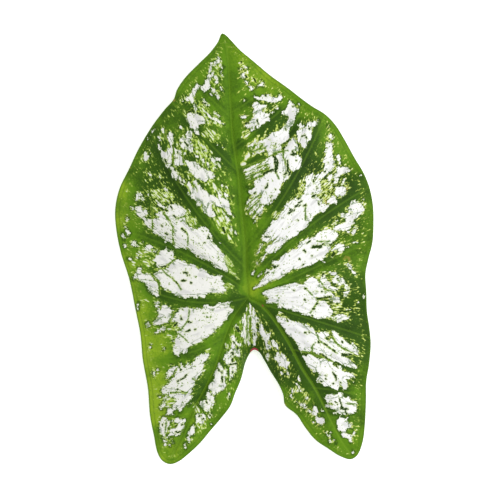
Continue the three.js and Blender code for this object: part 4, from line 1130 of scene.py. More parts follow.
@dataclass(frozen=True)
class BladeForm:
    """Heights and reliefs of the blade in millimetres, as in the part's source except the upper face's."""

    junction_height: float = 11.5
    arch_bow: float = 4.0
    arch_power: float = 2.2
    tip_press: float = 1.7
    tip_press_span: float = 11.0
    tip_press_power: float = 14.0
    crest_share: float = 0.095
    crest_skew: float = 0.85
    crest_end_power: float = 6.0
    margin_height: float = 5.2
    margin_rise_span: float = 70.0
    margin_lift_slope: float = 0.06
    margin_lift_span: float = 20.0
    wave_height: float = 2.1
    wave_length: float = 56.0
    small_wave_height: float = 0.7
    small_wave_length: float = 23.0
    small_wave_phase: float = 1.0
    quilt_height: float = 1.3
    quilt_fullness: float = 0.8
    main_rib_depth: float = 1.9
    main_rib_width: float = 2.1
    main_rib_taper: float = 0.75
    side_rib_depth: float = 0.9
    side_rib_width: float = 0.9
    side_rib_taper: float = 0.7
    collar_depth: float = 1.1
    collar_width: float = 4.5
    thickness: float = 0.6
    margin_thickness: float = 0.4
    main_groove_depth: float = 0.25
    main_groove_width: float = 1.0
    main_groove_taper: float = 0.7
    side_groove_depth: float = 0.12
    side_groove_width: float = 0.7


@dataclass(frozen=True)
class MarkingReach:
    """How far the markings keep from veins and rim and how far they fade, in millimetres."""

    side_clear: float = 1.2
    side_fade: float = 2.0
    main_clear: float = 2.5
    main_fade: float = 3.5
    rim_clear: float = 4.0
    rim_fade: float = 8.0
    patch_gap: float = 0.3
    patch_halo: float = 2.6
    patch_rim_clear: float = 1.5
    patch_rim_fade: float = 3.0
    lace_lead: float = 1.2
    lace_fade: float = 1.4
    rim_row: float = 4.6
    rim_row_spread: float = 4.0
    veinlet_near: float = 1.2
    band_fade: float = 2.2
    band_rim_clear: float = 6.0
    band_rim_fade: float = 10.0
    side_near: float = 2.5
    junction_fade: float = 8.0
    main_width: float = 2.6
    main_taper: float = 1.7
    midrib_gain: float = 0.5
    under_main_width: float = 2.4
    under_main_taper: float = 1.4


@dataclass(frozen=True)
class FleckLevels:
    """How dense the flecks are, from 0 to 1, in each of their places."""

    open_green: float = 0.62
    beside_patch: float = 0.86
    lace: float = 0.95
    rim_row: float = 0.69


@dataclass(frozen=True)
class RibLight:
    """How much of their pale colour the main veins show, as shares."""

    least: float = 0.2
    gain: float = 0.45
    fall_along: float = 0.45
    left_full_at: float = 0.6

    def share(self, grid: "FaceGrid", rise: np.ndarray) -> np.ndarray:
        """Most along the midrib and the right basal vein; the left one gets it towards its end.

        Args:
            grid: the face's vertices.
            rise: 1 above the junction, 0 below it, eased between.

        Returns:
            One share for each vertex: the least, plus the gain times what the vein takes of it.
        """
        midrib = 1 - self.fall_along * grid.along
        basal = np.maximum(1 - grid.is_left, ease(grid.along / self.left_full_at))
        return self.least + self.gain * (rise * midrib + (1 - rise) * basal)


@dataclass(frozen=True)
class FaceGrid:
    """Vertices of one face: the spine's first, then those of each column from vein to margin.

    Each has its plan place, its share across from vein to margin, its column's share along the main
    vein, length, place round the margin and swell, and 1 on the leaf's left half or 0 on its right.
    """

    rows: int
    plan: np.ndarray
    across: np.ndarray
    along: np.ndarray
    reach: np.ndarray
    turn: np.ndarray
    swell: np.ndarray
    is_left: np.ndarray


@dataclass
class LeafBlade:
    """The blade: an upper face and an underside on one walk of columns, with the rim between them."""

    plan: LeafPlan
    form: BladeForm = field(default_factory=BladeForm)
    reach: MarkingReach = field(default_factory=MarkingReach)
    levels: FleckLevels = field(default_factory=FleckLevels)
    rib_light: RibLight = field(default_factory=RibLight)
    upper_rows: int = 86
    under_rows: int = 26
    row_power: float = 1.06
    rim_bulge_mm: float = 0.12
    line_room_mm: float = 4.0
    patch_room_mm: float = 4.0
    far_mm: float = 9.0

    def grid(self, rows: int) -> FaceGrid:
        """Plan and coordinates of one face's vertices.

        A column runs from its spine point to its margin point, bowed by four times its bow times
        share times one less share.

        Args:
            rows: rows between spine and margin.

        Returns:
            The grid.
        """
        columns = self.plan.columns
        start = self.plan.spine_points[columns.spine]
        chord = self.plan.margin.at(columns.margin) - start
        square = np.stack([-chord[:, 1], chord[:, 0]], 1)
        bow = columns.along[:, None] * chord + columns.across[:, None] * square
        share = ((np.arange(1, rows + 1) / rows) ** self.row_power)[None, :, None]
        spots = start[:, None] + chord[:, None] * share + 4 * bow[:, None] * share * (1 - share)
        first = np.unique(columns.spine, return_index=True)[1]
        left = [flank.value for flank in (Flank.LEFT_INNER, Flank.LEFT_OUTER, Flank.MIDRIB_LEFT)]
        is_left = np.isin(columns.flank, left).astype(float)

        def spread(spine_values: np.ndarray, column_values: np.ndarray) -> np.ndarray:
            """One value for each vertex from those of the spine points and of the columns."""
            return np.concatenate([spine_values, np.repeat(column_values, rows)])

        reach = np.linalg.norm(chord, axis=1)
        turn = np.mod(columns.margin, self.plan.margin.length)
        return FaceGrid(
            rows, np.vstack([self.plan.spine_points, spots.reshape(-1, 2)]),
            np.concatenate([np.zeros(len(first)), np.tile(share.ravel(), len(start))]),
            spread(self.plan.spine_shares, columns.share), spread(reach[first], reach),
            spread(turn[first], turn), spread(np.zeros(len(first)), columns.swell),
            spread(np.full(len(first), 0.5), is_left),
        )

    def body_height(self, grid: FaceGrid) -> np.ndarray:
        """Height of the blade's lower side without ribs, one for each vertex.

        The main vein is an arch; the margin is low at the three ends and waved between them. From
        one to the other the height eases over, with a crest in proportion to the reach and a swell
        between neighbouring side veins added.

        Args:
            grid: the face's vertices.

        Returns:
            Heights in millimetres.
        """
        form = self.form
        t, s, turn = grid.along, grid.across, grid.turn
        vein = form.junction_height * (1 - t**form.arch_power) + form.arch_bow * np.sin(np.pi * t)
        vein -= form.tip_press * t**form.tip_press_power
        margin = self.plan.margin
        lobes = [margin.nearest(self.plan.place(end)) for end in (RIGHT_LOBE_END, LEFT_LOBE_END)]
        ends = [0.0, margin.length, *lobes]
        from_end = np.min([np.abs(turn - end) for end in ends], axis=0)
        wave = form.wave_height * np.sin(2 * np.pi * turn / form.wave_length)
        small_turn = 2 * np.pi * turn / form.small_wave_length + form.small_wave_phase
        wave += form.small_wave_height * np.sin(small_turn)
        edge = (form.margin_height + wave) * ease(from_end / form.margin_rise_span)
        edge += form.margin_lift_slope * np.minimum(from_end, form.margin_lift_span)
        edge -= form.tip_press * np.maximum(0, 1 - from_end / form.tip_press_span) ** 2
        crest = form.crest_share * grid.reach * np.sin(np.pi * s**form.crest_skew)
        crest *= 1 - t**form.crest_end_power
        quilt = form.quilt_height * grid.swell * np.sin(np.pi * s) ** form.quilt_fullness
        return vein + (edge - vein) * ease(s) + crest + quilt

    def upper_height(self, grid: FaceGrid, side: np.ndarray, side_share: np.ndarray) -> np.ndarray:
        """Height of the upper face: body and thickness, less bell-shaped grooves over the veins.

        Args:
            grid: the face's vertices.
            side: signed offsets from the side veins.
            side_share: how far along the nearest side vein each vertex is.

        Returns:
            Heights in millimetres.
        """
        form = self.form
        from_main = grid.across * grid.reach
        thickness = form.thickness + (form.margin_thickness - form.thickness) * grid.across
        main = form.main_groove_depth * np.exp(-((from_main / form.main_groove_width) ** 2))
        main *= 1 - form.main_groove_taper * grid.along
        groove = form.side_groove_depth * np.exp(-((side / form.side_groove_width) ** 2)) * (1 - side_share)
        return np.maximum(0, self.body_height(grid)) + thickness - main - groove * ease(from_main)

    def under_height(self, grid: FaceGrid, side: np.ndarray, side_share: np.ndarray) -> np.ndarray:
        """Height of the underside: body less bell-shaped ribs under the veins and a collar at the stalk.

        Args:
            grid: the face's vertices.
            side: signed offsets from the side veins.
            side_share: how far along the nearest side vein each vertex is.

        Returns:
            Heights in millimetres.
        """
        form = self.form
        from_main = grid.across * grid.reach
        from_stalk = np.linalg.norm(grid.plan - self.plan.place(JUNCTION), axis=1)
        main = form.main_rib_depth * (1 - form.main_rib_taper * grid.along)
        main *= np.exp(-((from_main / form.main_rib_width) ** 2))
        rib = form.side_rib_depth * (1 - np.clip(side_share, 0, 1)) ** form.side_rib_taper
        rib *= np.exp(-((side / form.side_rib_width) ** 2)) * ease(from_main / form.main_rib_width)
        collar = form.collar_depth * np.exp(-((from_stalk / form.collar_width) ** 2))
        return np.maximum(0, self.body_height(grid) - main - rib - collar)

    def triangles(self, grid: FaceGrid) -> tuple[np.ndarray, np.ndarray]:
        """Upward triangles of a face and the grain coordinates of their corners.

        Cells between two columns are split along their shorter diagonal. The grain runs in
        millimetres along the margin and out from the main vein.

        Args:
            grid: the face's vertices.

        Returns:
            Vertex numbers and grain places, three to a triangle.
        """
        columns = self.plan.columns
        count = len(columns.flank)
        here = np.empty((count, grid.rows + 1), int)
        here[:, 0] = columns.spine
        here[:, 1:] = len(self.plan.spine_points) + np.arange(count * grid.rows).reshape(count, grid.rows)
        beside = np.roll(here, -1, axis=0)
        out = (grid.across * grid.reach)[here]
        out[:, 0] = 0
        turn = np.repeat(columns.margin[:, None], grid.rows + 1, axis=1)
        turn_beside = np.roll(turn, -1, axis=0)
        turn_beside = turn_beside + self.plan.margin.length * (turn_beside < turn)
        grain_here = np.stack([turn, out], axis=-1)
        grain_beside = np.stack([turn_beside, np.roll(out, -1, axis=0)], axis=-1)
        corners = (here[:, :-1], beside[:, :-1], beside[:, 1:], here[:, 1:])
        grains = (grain_here[:, :-1], grain_beside[:, :-1], grain_beside[:, 1:], grain_here[:, 1:])
        gaps = [np.linalg.norm(grid.plan[corners[i]] - grid.plan[corners[i + 2]], axis=2) for i in (0, 1)]
        straight = gaps[0] <= gaps[1]
        faces, marks = [], []
        for split, picks in ((straight, ((0, 1, 2), (0, 2, 3))), (~straight, ((0, 1, 3), (1, 2, 3)))):
            for pick in picks:
                trio = np.stack([corners[i][split] for i in pick], axis=1)
                spots = np.stack([grains[i][split] for i in pick], axis=1)
                whole = trio[:, 0] != trio[:, 1]
                faces.append(trio[whole])
                marks.append(spots[whole])
        return np.vstack(faces), np.vstack(marks)

    def rim(self, upper: np.ndarray, middle: np.ndarray, under: np.ndarray) -> np.ndarray:
        """Outward triangles of the rim between three rings of vertex numbers, top to bottom.

        Args:
            upper: the upper face's last ring.
            middle: the ring that bulges between the faces.
            under: the underside's last ring.

        Returns:
            Vertex numbers, three to a row.
        """
        faces = []
        for high, low in ((upper, middle), (middle, under)):
            high_next, low_next = np.roll(high, -1), np.roll(low, -1)
            faces += [np.stack([high, high_next, low_next], 1), np.stack([high, low_next, low], 1)]
        return np.vstack(faces)

    def chart(self, texts: tuple[str, ...]) -> list[np.ndarray]:
        """Outlines or lines from their texts, in millimetres from the middle of the leaf."""
        return [self.plan.place(chart_chain(text)) for text in texts]

    def tone(self, spots: np.ndarray) -> np.ndarray:
        """Brightness of the green: mean of the tone spots, weighted by a bell round each.

        Args:
            spots: plan points in millimetres.

        Returns:
            One brightness for each point.
        """
        total = np.full(len(spots), TONE_ELSEWHERE * TONE_ELSEWHERE_WEIGHT)
        weight = np.full(len(spots), TONE_ELSEWHERE_WEIGHT)
        for spot in TONE_SPOTS:
            away = np.linalg.norm(spots - self.plan.place(spot.place), axis=1)
            bell = np.exp(-((away / (spot.spread * self.plan.unit_mm)) ** 2))
            total += bell * spot.tone
            weight += bell
        return total / weight

    def depth_in_strokes(self, spots: np.ndarray, strokes: tuple[tuple[Chain, float], ...]) -> np.ndarray:
        """Half-width of the nearest of several strokes less the distance from its line.

        Args:
            spots: plan points in millimetres.
            strokes: each a chain of chart places and its half-width.

        Returns:
            One depth for each point, above 0 inside a stroke.
        """
        depth = np.full(len(spots), -self.line_room_mm)
        for chain, half_width in strokes:
            away, _ = offset_from_lines(spots, [self.plan.place(chain)], self.line_room_mm)
            depth = np.maximum(depth, half_width * self.plan.unit_mm - np.abs(away))
        return depth

    def fleck_density(
        self, white: np.ndarray, lace: np.ndarray, off_side: np.ndarray, from_main: np.ndarray,
        from_rim: np.ndarray,
    ) -> np.ndarray:
        """Density of the flecks: the most of what the open green, the patches, lace and rim give.

        Args:
            white: depth in the white patches.
            lace: depth in the lace zones.
            off_side: distance from the side veins.
            from_main: distance from the main veins.
            from_rim: distance from the rim.

        Returns:
            Densities from 0 to 1.
        """
        reach, levels = self.reach, self.levels
        between = ease((off_side - reach.side_clear) / reach.side_fade)
        between *= ease((from_main - reach.main_clear) / reach.main_fade)
        halo = np.exp(-((np.maximum(0, -white - reach.patch_gap) / reach.patch_halo) ** 2))
        inner = np.max([
            levels.open_green * ease((from_rim - reach.rim_clear) / reach.rim_fade),
            levels.beside_patch * halo * ease((from_rim - reach.patch_rim_clear) / reach.patch_rim_fade),
            levels.lace * ease((lace + reach.lace_lead) / reach.lace_fade),
        ], axis=0)
        rim_row = np.exp(-(((from_rim - reach.rim_row) / reach.rim_row_spread) ** 2))
        return np.maximum(inner * between, levels.rim_row * rim_row)

    def markings(self, grid: FaceGrid, side: np.ndarray) -> dict[str, np.ndarray]:
        """Values that the upper finish reads, one for each vertex, distances in millimetres.

        Args:
            grid: the upper face's vertices.
            side: signed offsets from the side veins.

        Returns:
            Values by name.
        """
        reach, spots, off_side = self.reach, grid.plan, np.abs(side)
        from_main = grid.across * grid.reach
        from_rim = (1 - grid.across) * grid.reach
        veinlet, veinlet_share = offset_from_lines(spots, self.chart(VEINLETS), self.line_room_mm)
        veinlet_near = 1 - ease((np.abs(veinlet) - reach.veinlet_near) / reach.veinlet_near)
        mark, _ = offset_from_lines(spots, self.chart(DARK_MARKS), self.line_room_mm)
        white = depth_in_patches(spots, self.chart(WHITE_PATCHES), self.patch_room_mm)
        lace = depth_in_patches(spots, self.chart(LACE_ZONES), self.patch_room_mm)
        side_near = 1 - ease((off_side - reach.side_near) / reach.side_clear)
        band = side_near * (1 - ease((off_side - reach.side_clear) / reach.band_fade))
        band *= ease((from_rim - reach.band_rim_clear) / reach.band_rim_fade)
        rise = ease((spots[:, 1] - self.plan.place(JUNCTION)[1]) / reach.junction_fade)
        width = reach.main_width - reach.main_taper * grid.along
        width *= 1 + reach.midrib_gain * rise * (1 - grid.along)
        return {
            "white": white,
            "flecks": self.fleck_density(white, lace, off_side, from_main, from_rim),
            "lace": lace,
            "mark": np.abs(mark),
            "veinlet": veinlet,
            "veinlet_near": ((veinlet_share > 0) & (veinlet_share < 1)) * veinlet_near,
            "blush": self.depth_in_strokes(spots, BLUSHES),
            "crimson": self.depth_in_strokes(spots, CRIMSON_BLUSHES),
            "tone": self.tone(spots),
            "band": band,
            "left": grid.is_left,
            "from_main": from_main / width,
            "rib_light": self.rib_light.share(grid, rise),
            "from_side": side,
            "side_near": side_near,
            "from_rim": from_rim,
        }

    def under_markings(self, grid: FaceGrid, side: np.ndarray) -> dict[str, np.ndarray]:
        """Values that the underside's finish reads, one for each vertex.

        Args:
            grid: the underside's vertices.
            side: signed offsets from the side veins.

        Returns:
            Values by name.
        """
        width = self.reach.under_main_width - self.reach.under_main_taper * grid.along
        return {
            "under_main": grid.across * grid.reach / width,
            "under_side": np.abs(side),
            "under_white": depth_in_patches(grid.plan, self.chart(WHITE_PATCHES), self.patch_room_mm),
        }

    def rim_middle(self, high: np.ndarray, low: np.ndarray) -> np.ndarray:
        """Middle ring of the rim: halfway between the two faces, moved out along the columns.

        Args:
            high: points of the upper face's last ring.
            low: points of the underside's last ring.

        Returns:
            The ring's points.
        """
        outward = high[:, :2] - self.plan.spine_points[self.plan.columns.spine]
        middle = (high + low) / 2
        middle[:, :2] += self.rim_bulge_mm * outward / np.linalg.norm(outward, axis=1, keepdims=True)
        return middle

    def build(self, upper_finish: bpy.types.Material, under_finish: bpy.types.Material) -> bpy.types.Object:
        """Makes the blade as one closed piece.

        Args:
            upper_finish: finish of the upper face.
            under_finish: finish of the underside and the rim.

        Returns:
            The piece.
        """
        side_veins = self.plan.side_veins()
        upper, under = self.grid(self.upper_rows), self.grid(self.under_rows)
        upper_side, under_side = (
            offset_from_lines(grid.plan, side_veins, self.line_room_mm) for grid in (upper, under)
        )
        top = np.column_stack([upper.plan, self.upper_height(upper, *upper_side)])
        bottom = np.column_stack([under.plan, self.under_height(under, *under_side)])
        column = np.arange(len(self.plan.columns.flank))
        high, low = (len(self.plan.spine_points) + (column + 1) * grid.rows - 1 for grid in (upper, under))
        points = np.vstack([top, bottom, self.rim_middle(top[high], bottom[low])])

        upper_faces, upper_grain = self.triangles(upper)
        under_faces, under_grain = self.triangles(under)
        rim_faces = self.rim(high, len(top) + len(bottom) + column, len(top) + low)
        faces = np.vstack([upper_faces, (under_faces + len(top))[:, ::-1], rim_faces])
        piece = new_piece("leaf_blade", points, faces)
        grain = np.vstack([upper_grain, under_grain[:, ::-1], np.zeros((len(rim_faces), 3, 2))])
        piece.data.uv_layers.new(name="grain").data.foreach_set("uv", grain.astype(np.float32).ravel())
        which = np.repeat((0, 1), (len(upper_faces), len(under_faces) + len(rim_faces)))
        piece.data.polygons.foreach_set("material_index", which.astype(np.int32))

        for marks, first, elsewhere in (
            (self.markings(upper, upper_side[0]), 0, 0.0),
            (self.under_markings(under, under_side[0]), len(top), self.far_mm),
        ):
            for name, values in marks.items():
                everywhere = np.full(len(points), elsewhere)
                everywhere[first:first + len(values)] = values
                give_values(piece, name, everywhere)
        return finish_piece(piece, [upper_finish, under_finish])


@dataclass
class CutStalk:
    """The short end of the leaf's stalk under the junction, cut across."""

    plan: LeafPlan
    junction_height: float
    radius_mm: float = 2.1
    flare_mm: float = 1.3
    flare_share: float = 0.4
    groove: float = 0.1
    groove_power: int = 6
    sides: int = 72
    steps: int = 60
    cut_rings: Chain = ((0.985, 0.06), (0.93, 0.1), (0.6, 0.04), (0.3, 0.0))
    route: tuple[tuple[float, float, float], ...] = (
        (0, 0, 0.1), (0, -0.7, -2), (0.1, -3.6, -4.7), (0.4, -8.8, -6.3), (0.8, -15.5, -7.2),
    )

    def rings(self) -> np.ndarray:
        """Rings of points: a round section, flatter above, carried square to the route.

        The radius is the stalk's, plus a flare that eases out from the junction. The cut's rings,
        each a share of the last radius and how far it stands out in mm, turn in over the end.

        Returns:
            The points, ring by ring from the junction to the middle of the cut.
        """
        path = Line.through(np.array(self.route))
        shares = np.linspace(0, 1, self.steps)
        spots = path.at(shares * path.length)
        ahead = np.gradient(spots, axis=0)
        ahead /= np.linalg.norm(ahead, axis=1, keepdims=True)
        over = np.cross((1.0, 0.0, 0.0), ahead)
        over /= np.linalg.norm(over, axis=1, keepdims=True)
        over *= np.where(over[:, 2:] < 0, -1, 1)
        across = np.cross(ahead, over)
        radius = self.radius_mm + self.flare_mm * (1 - ease(shares / self.flare_share))
        angle = np.linspace(0, 2 * np.pi, self.sides, endpoint=False)
        section = 1 - self.groove * np.maximum(0, np.sin(angle)) ** self.groove_power
        shape = np.cos(angle)[:, None] * across[:, None] + np.sin(angle)[:, None] * over[:, None]
        rings = spots[:, None] + radius[:, None, None] * section[None, :, None] * shape
        cut = [spots[-1] + (rings[-1] - spots[-1]) * inner + ahead[-1] * out for inner, out in self.cut_rings]
        return np.concatenate([rings, cut])

    def build(self, skin: bpy.types.Material, cut: bpy.types.Material) -> bpy.types.Object:
        """Makes the stalk's end as one closed piece.

        Args:
            skin: finish of the stalk's sides.
            cut: finish of the cut face.

        Returns:
            The piece.
        """
        rings = self.rings()
        count = len(rings)
        number = np.arange(count * self.sides).reshape(count, self.sides)
        here, ahead = number[:-1], number[1:]
        here_next, ahead_next = np.roll(here, -1, axis=1), np.roll(ahead, -1, axis=1)
        walls = np.concatenate([
            np.stack([here, ahead_next, here_next], -1), np.stack([here, ahead, ahead_next], -1),
        ], axis=1).reshape(-1, 3)
        closing = [
            np.stack([number[0], np.roll(number[0], -1), np.full(self.sides, number.size)], 1),
            np.stack([np.roll(number[-1], -1), number[-1], np.full(self.sides, number.size + 1)], 1),
        ]
        faces = np.vstack([walls, *closing])
        points = np.vstack([rings.reshape(-1, 3), rings[0].mean(0), rings[-1].mean(0)])
        points += (*self.plan.place(JUNCTION), self.junction_height)
        piece = new_piece("cut_stalk", points, faces)
        on_cut = faces[:, 0] // self.sides >= self.steps
        piece.data.polygons.foreach_set("material_index", on_cut.astype(np.int32))
        return finish_piece(piece, [skin, cut])


class Pattern(Enum):
    """Random patterns: soft clouds, or how far a spot is from its cell's edge or middle."""

    CLOUDS = ("ShaderNodeTexNoise", None)
    CELL_EDGES = ("ShaderNodeTexVoronoi", "DISTANCE_TO_EDGE")
    CELL_MIDDLES = ("ShaderNodeTexVoronoi", "F1")


@dataclass(frozen=True)
class Source:
    """A random pattern that a finish reads: its size, and how many times longer it is along the leaf.

    A pattern on the grain runs along the margin and out from the main veins, any other one is fixed
    to the piece.
    """

    name: str
    size_mm: float
    pattern: Pattern = Pattern.CLOUDS
    detail: float = 2.0
    drawn_out: float = 1.0
    on_grain: bool = False

    def socket(self, tree: Tree) -> Socket:
        """Adds the pattern to a finish and gives its value.

        Args:
            tree: the finish's node tree.

        Returns:
            The pattern's value, about 0 to 1.
        """
        if self.on_grain:
            place, unit = add_node(tree, "ShaderNodeUVMap", uv_map="grain"), 1.0
        else:
            place, unit = add_node(tree, "ShaderNodeTexCoord", out="Object"), METRES
        scale = 1 / (self.size_mm * unit)
        inputs = {"Scale": 1.0, "Vector": add_node(tree, "ShaderNodeMapping", {
            "Vector": place, "Scale": (scale, scale / self.drawn_out, scale),
        })}
        kind, feature = self.pattern.value
        if feature is None:
            return add_node(tree, kind, {**inputs, "Detail": self.detail})
        return add_node(tree, kind, inputs, feature=feature)


@dataclass(frozen=True)
class Mix:
    """A total of values, each times its weight, on top of a number."""

    name: str
    start: float
    parts: tuple[tuple[str, float], ...]

    def add(self, tree: Tree, found: Found) -> None:
        """Adds the total to the values found, under its own name.

        Args:
            tree: the finish's node tree.
            found: the values found so far, by name.
        """
        total = self.start
        for value, weight in self.parts:
            total = add_node(tree, "ShaderNodeMath", {0: found[value], 1: weight, 2: total},
                             operation="MULTIPLY_ADD")
        found[self.name] = total


@dataclass(frozen=True)
class Coat:
    """A colour laid over those below it where a value is past an edge.

    It covers nothing where the value is at one end of the edge, its full share where it is at the
    other end, and eases over between them. It may be kept within another value's share.
    """

    value: str
    bare_at: float
    full_at: float
    colour: str | Socket
    share: float = 1.0
    within: str | None = None

    def lay(self, tree: Tree, found: Found, under: Colour | Socket) -> Socket:
        """Lays the coat on the colour below it and gives the colour on top.

        Args:
            tree: the finish's node tree.
            found: the values that coats read, by name.
            under: the colour below.

        Returns:
            The colour on top.
        """
        cover = add_node(tree, "ShaderNodeMapRange", {
            "Value": found[self.value], "From Min": self.bare_at, "From Max": self.full_at,
            "To Max": self.share,
        }, interpolation_type="SMOOTHSTEP")
        if self.within is not None:
            cover = add_node(tree, "ShaderNodeMath", {0: cover, 1: found[self.within]}, operation="MULTIPLY")
        colour = linear(self.colour) if isinstance(self.colour, str) else self.colour
        return add_node(tree, "ShaderNodeMix", {0: cover, 6: under, 7: colour}, out=2, data_type="RGBA")


def lay_coats(tree: Tree, found: Found, ground: str, *coats: Coat) -> Socket:
    """Lays coats on a ground colour one over another, first one lowest, and gives the colour on top.

    Args:
        tree: the finish's node tree.
        found: the values that coats read, by name.
        ground: the hex colour below all coats.
        coats: the coats.

    Returns:
        The colour on top.
    """
    colour = linear(ground)
    for coat in coats:
        colour = coat.lay(tree, found, colour)
    return colour


@dataclass(frozen=True)
class Finish:
    """What a surface is: the values and patterns that it reads, its gloss, its relief and its glow."""

    name: str
    values: tuple[str, ...] = ()
    sources: tuple[Source, ...] = ()
    mixes: tuple[Mix, ...] = ()
    ior: float = 1.42
    roughness: float = 0.5
    specular: float = 0.5
    relief_mm: float = 0.0
    relief_strength: float = 1.0
    glow: float = 0.0

    def colour(self, tree: Tree, found: Found) -> Colour | Socket:
        """The surface's colour, from the values and patterns found."""
        raise NotImplementedError

    def relief(self, tree: Tree, found: Found) -> Socket | None:
        """The surface's relief as a share of its height, or None where it is smooth."""
        return None

    def material(self) -> bpy.types.Material:
        """Builds the material of the finish on one shader.

        Returns:
            The material.
        """
        finish = bpy.data.materials.new(self.name)
        finish.use_nodes = True
        tree = finish.node_tree
        tree.nodes.clear()
        found = {source.name: source.socket(tree) for source in self.sources}
        for value in self.values:
            found[value] = add_node(tree, "ShaderNodeAttribute", out="Fac", attribute_name=value)
        colour, relief = self.colour(tree, found), self.relief(tree, found)
        inputs = {
            "Base Color": colour, "Roughness": self.roughness, "IOR": self.ior,
            "Specular IOR Level": self.specular,
        }
        if relief is not None:
            inputs["Normal"] = add_node(tree, "ShaderNodeBump", {
                "Height": relief, "Strength": self.relief_strength, "Distance": self.relief_mm * METRES,
            })
        if self.glow:
            inputs.update({"Emission Color": colour, "Emission Strength": self.glow})
        shader = add_node(tree, "ShaderNodeBsdfPrincipled", inputs)
        add_node(tree, "ShaderNodeOutputMaterial", {"Surface": shader})
        return finish


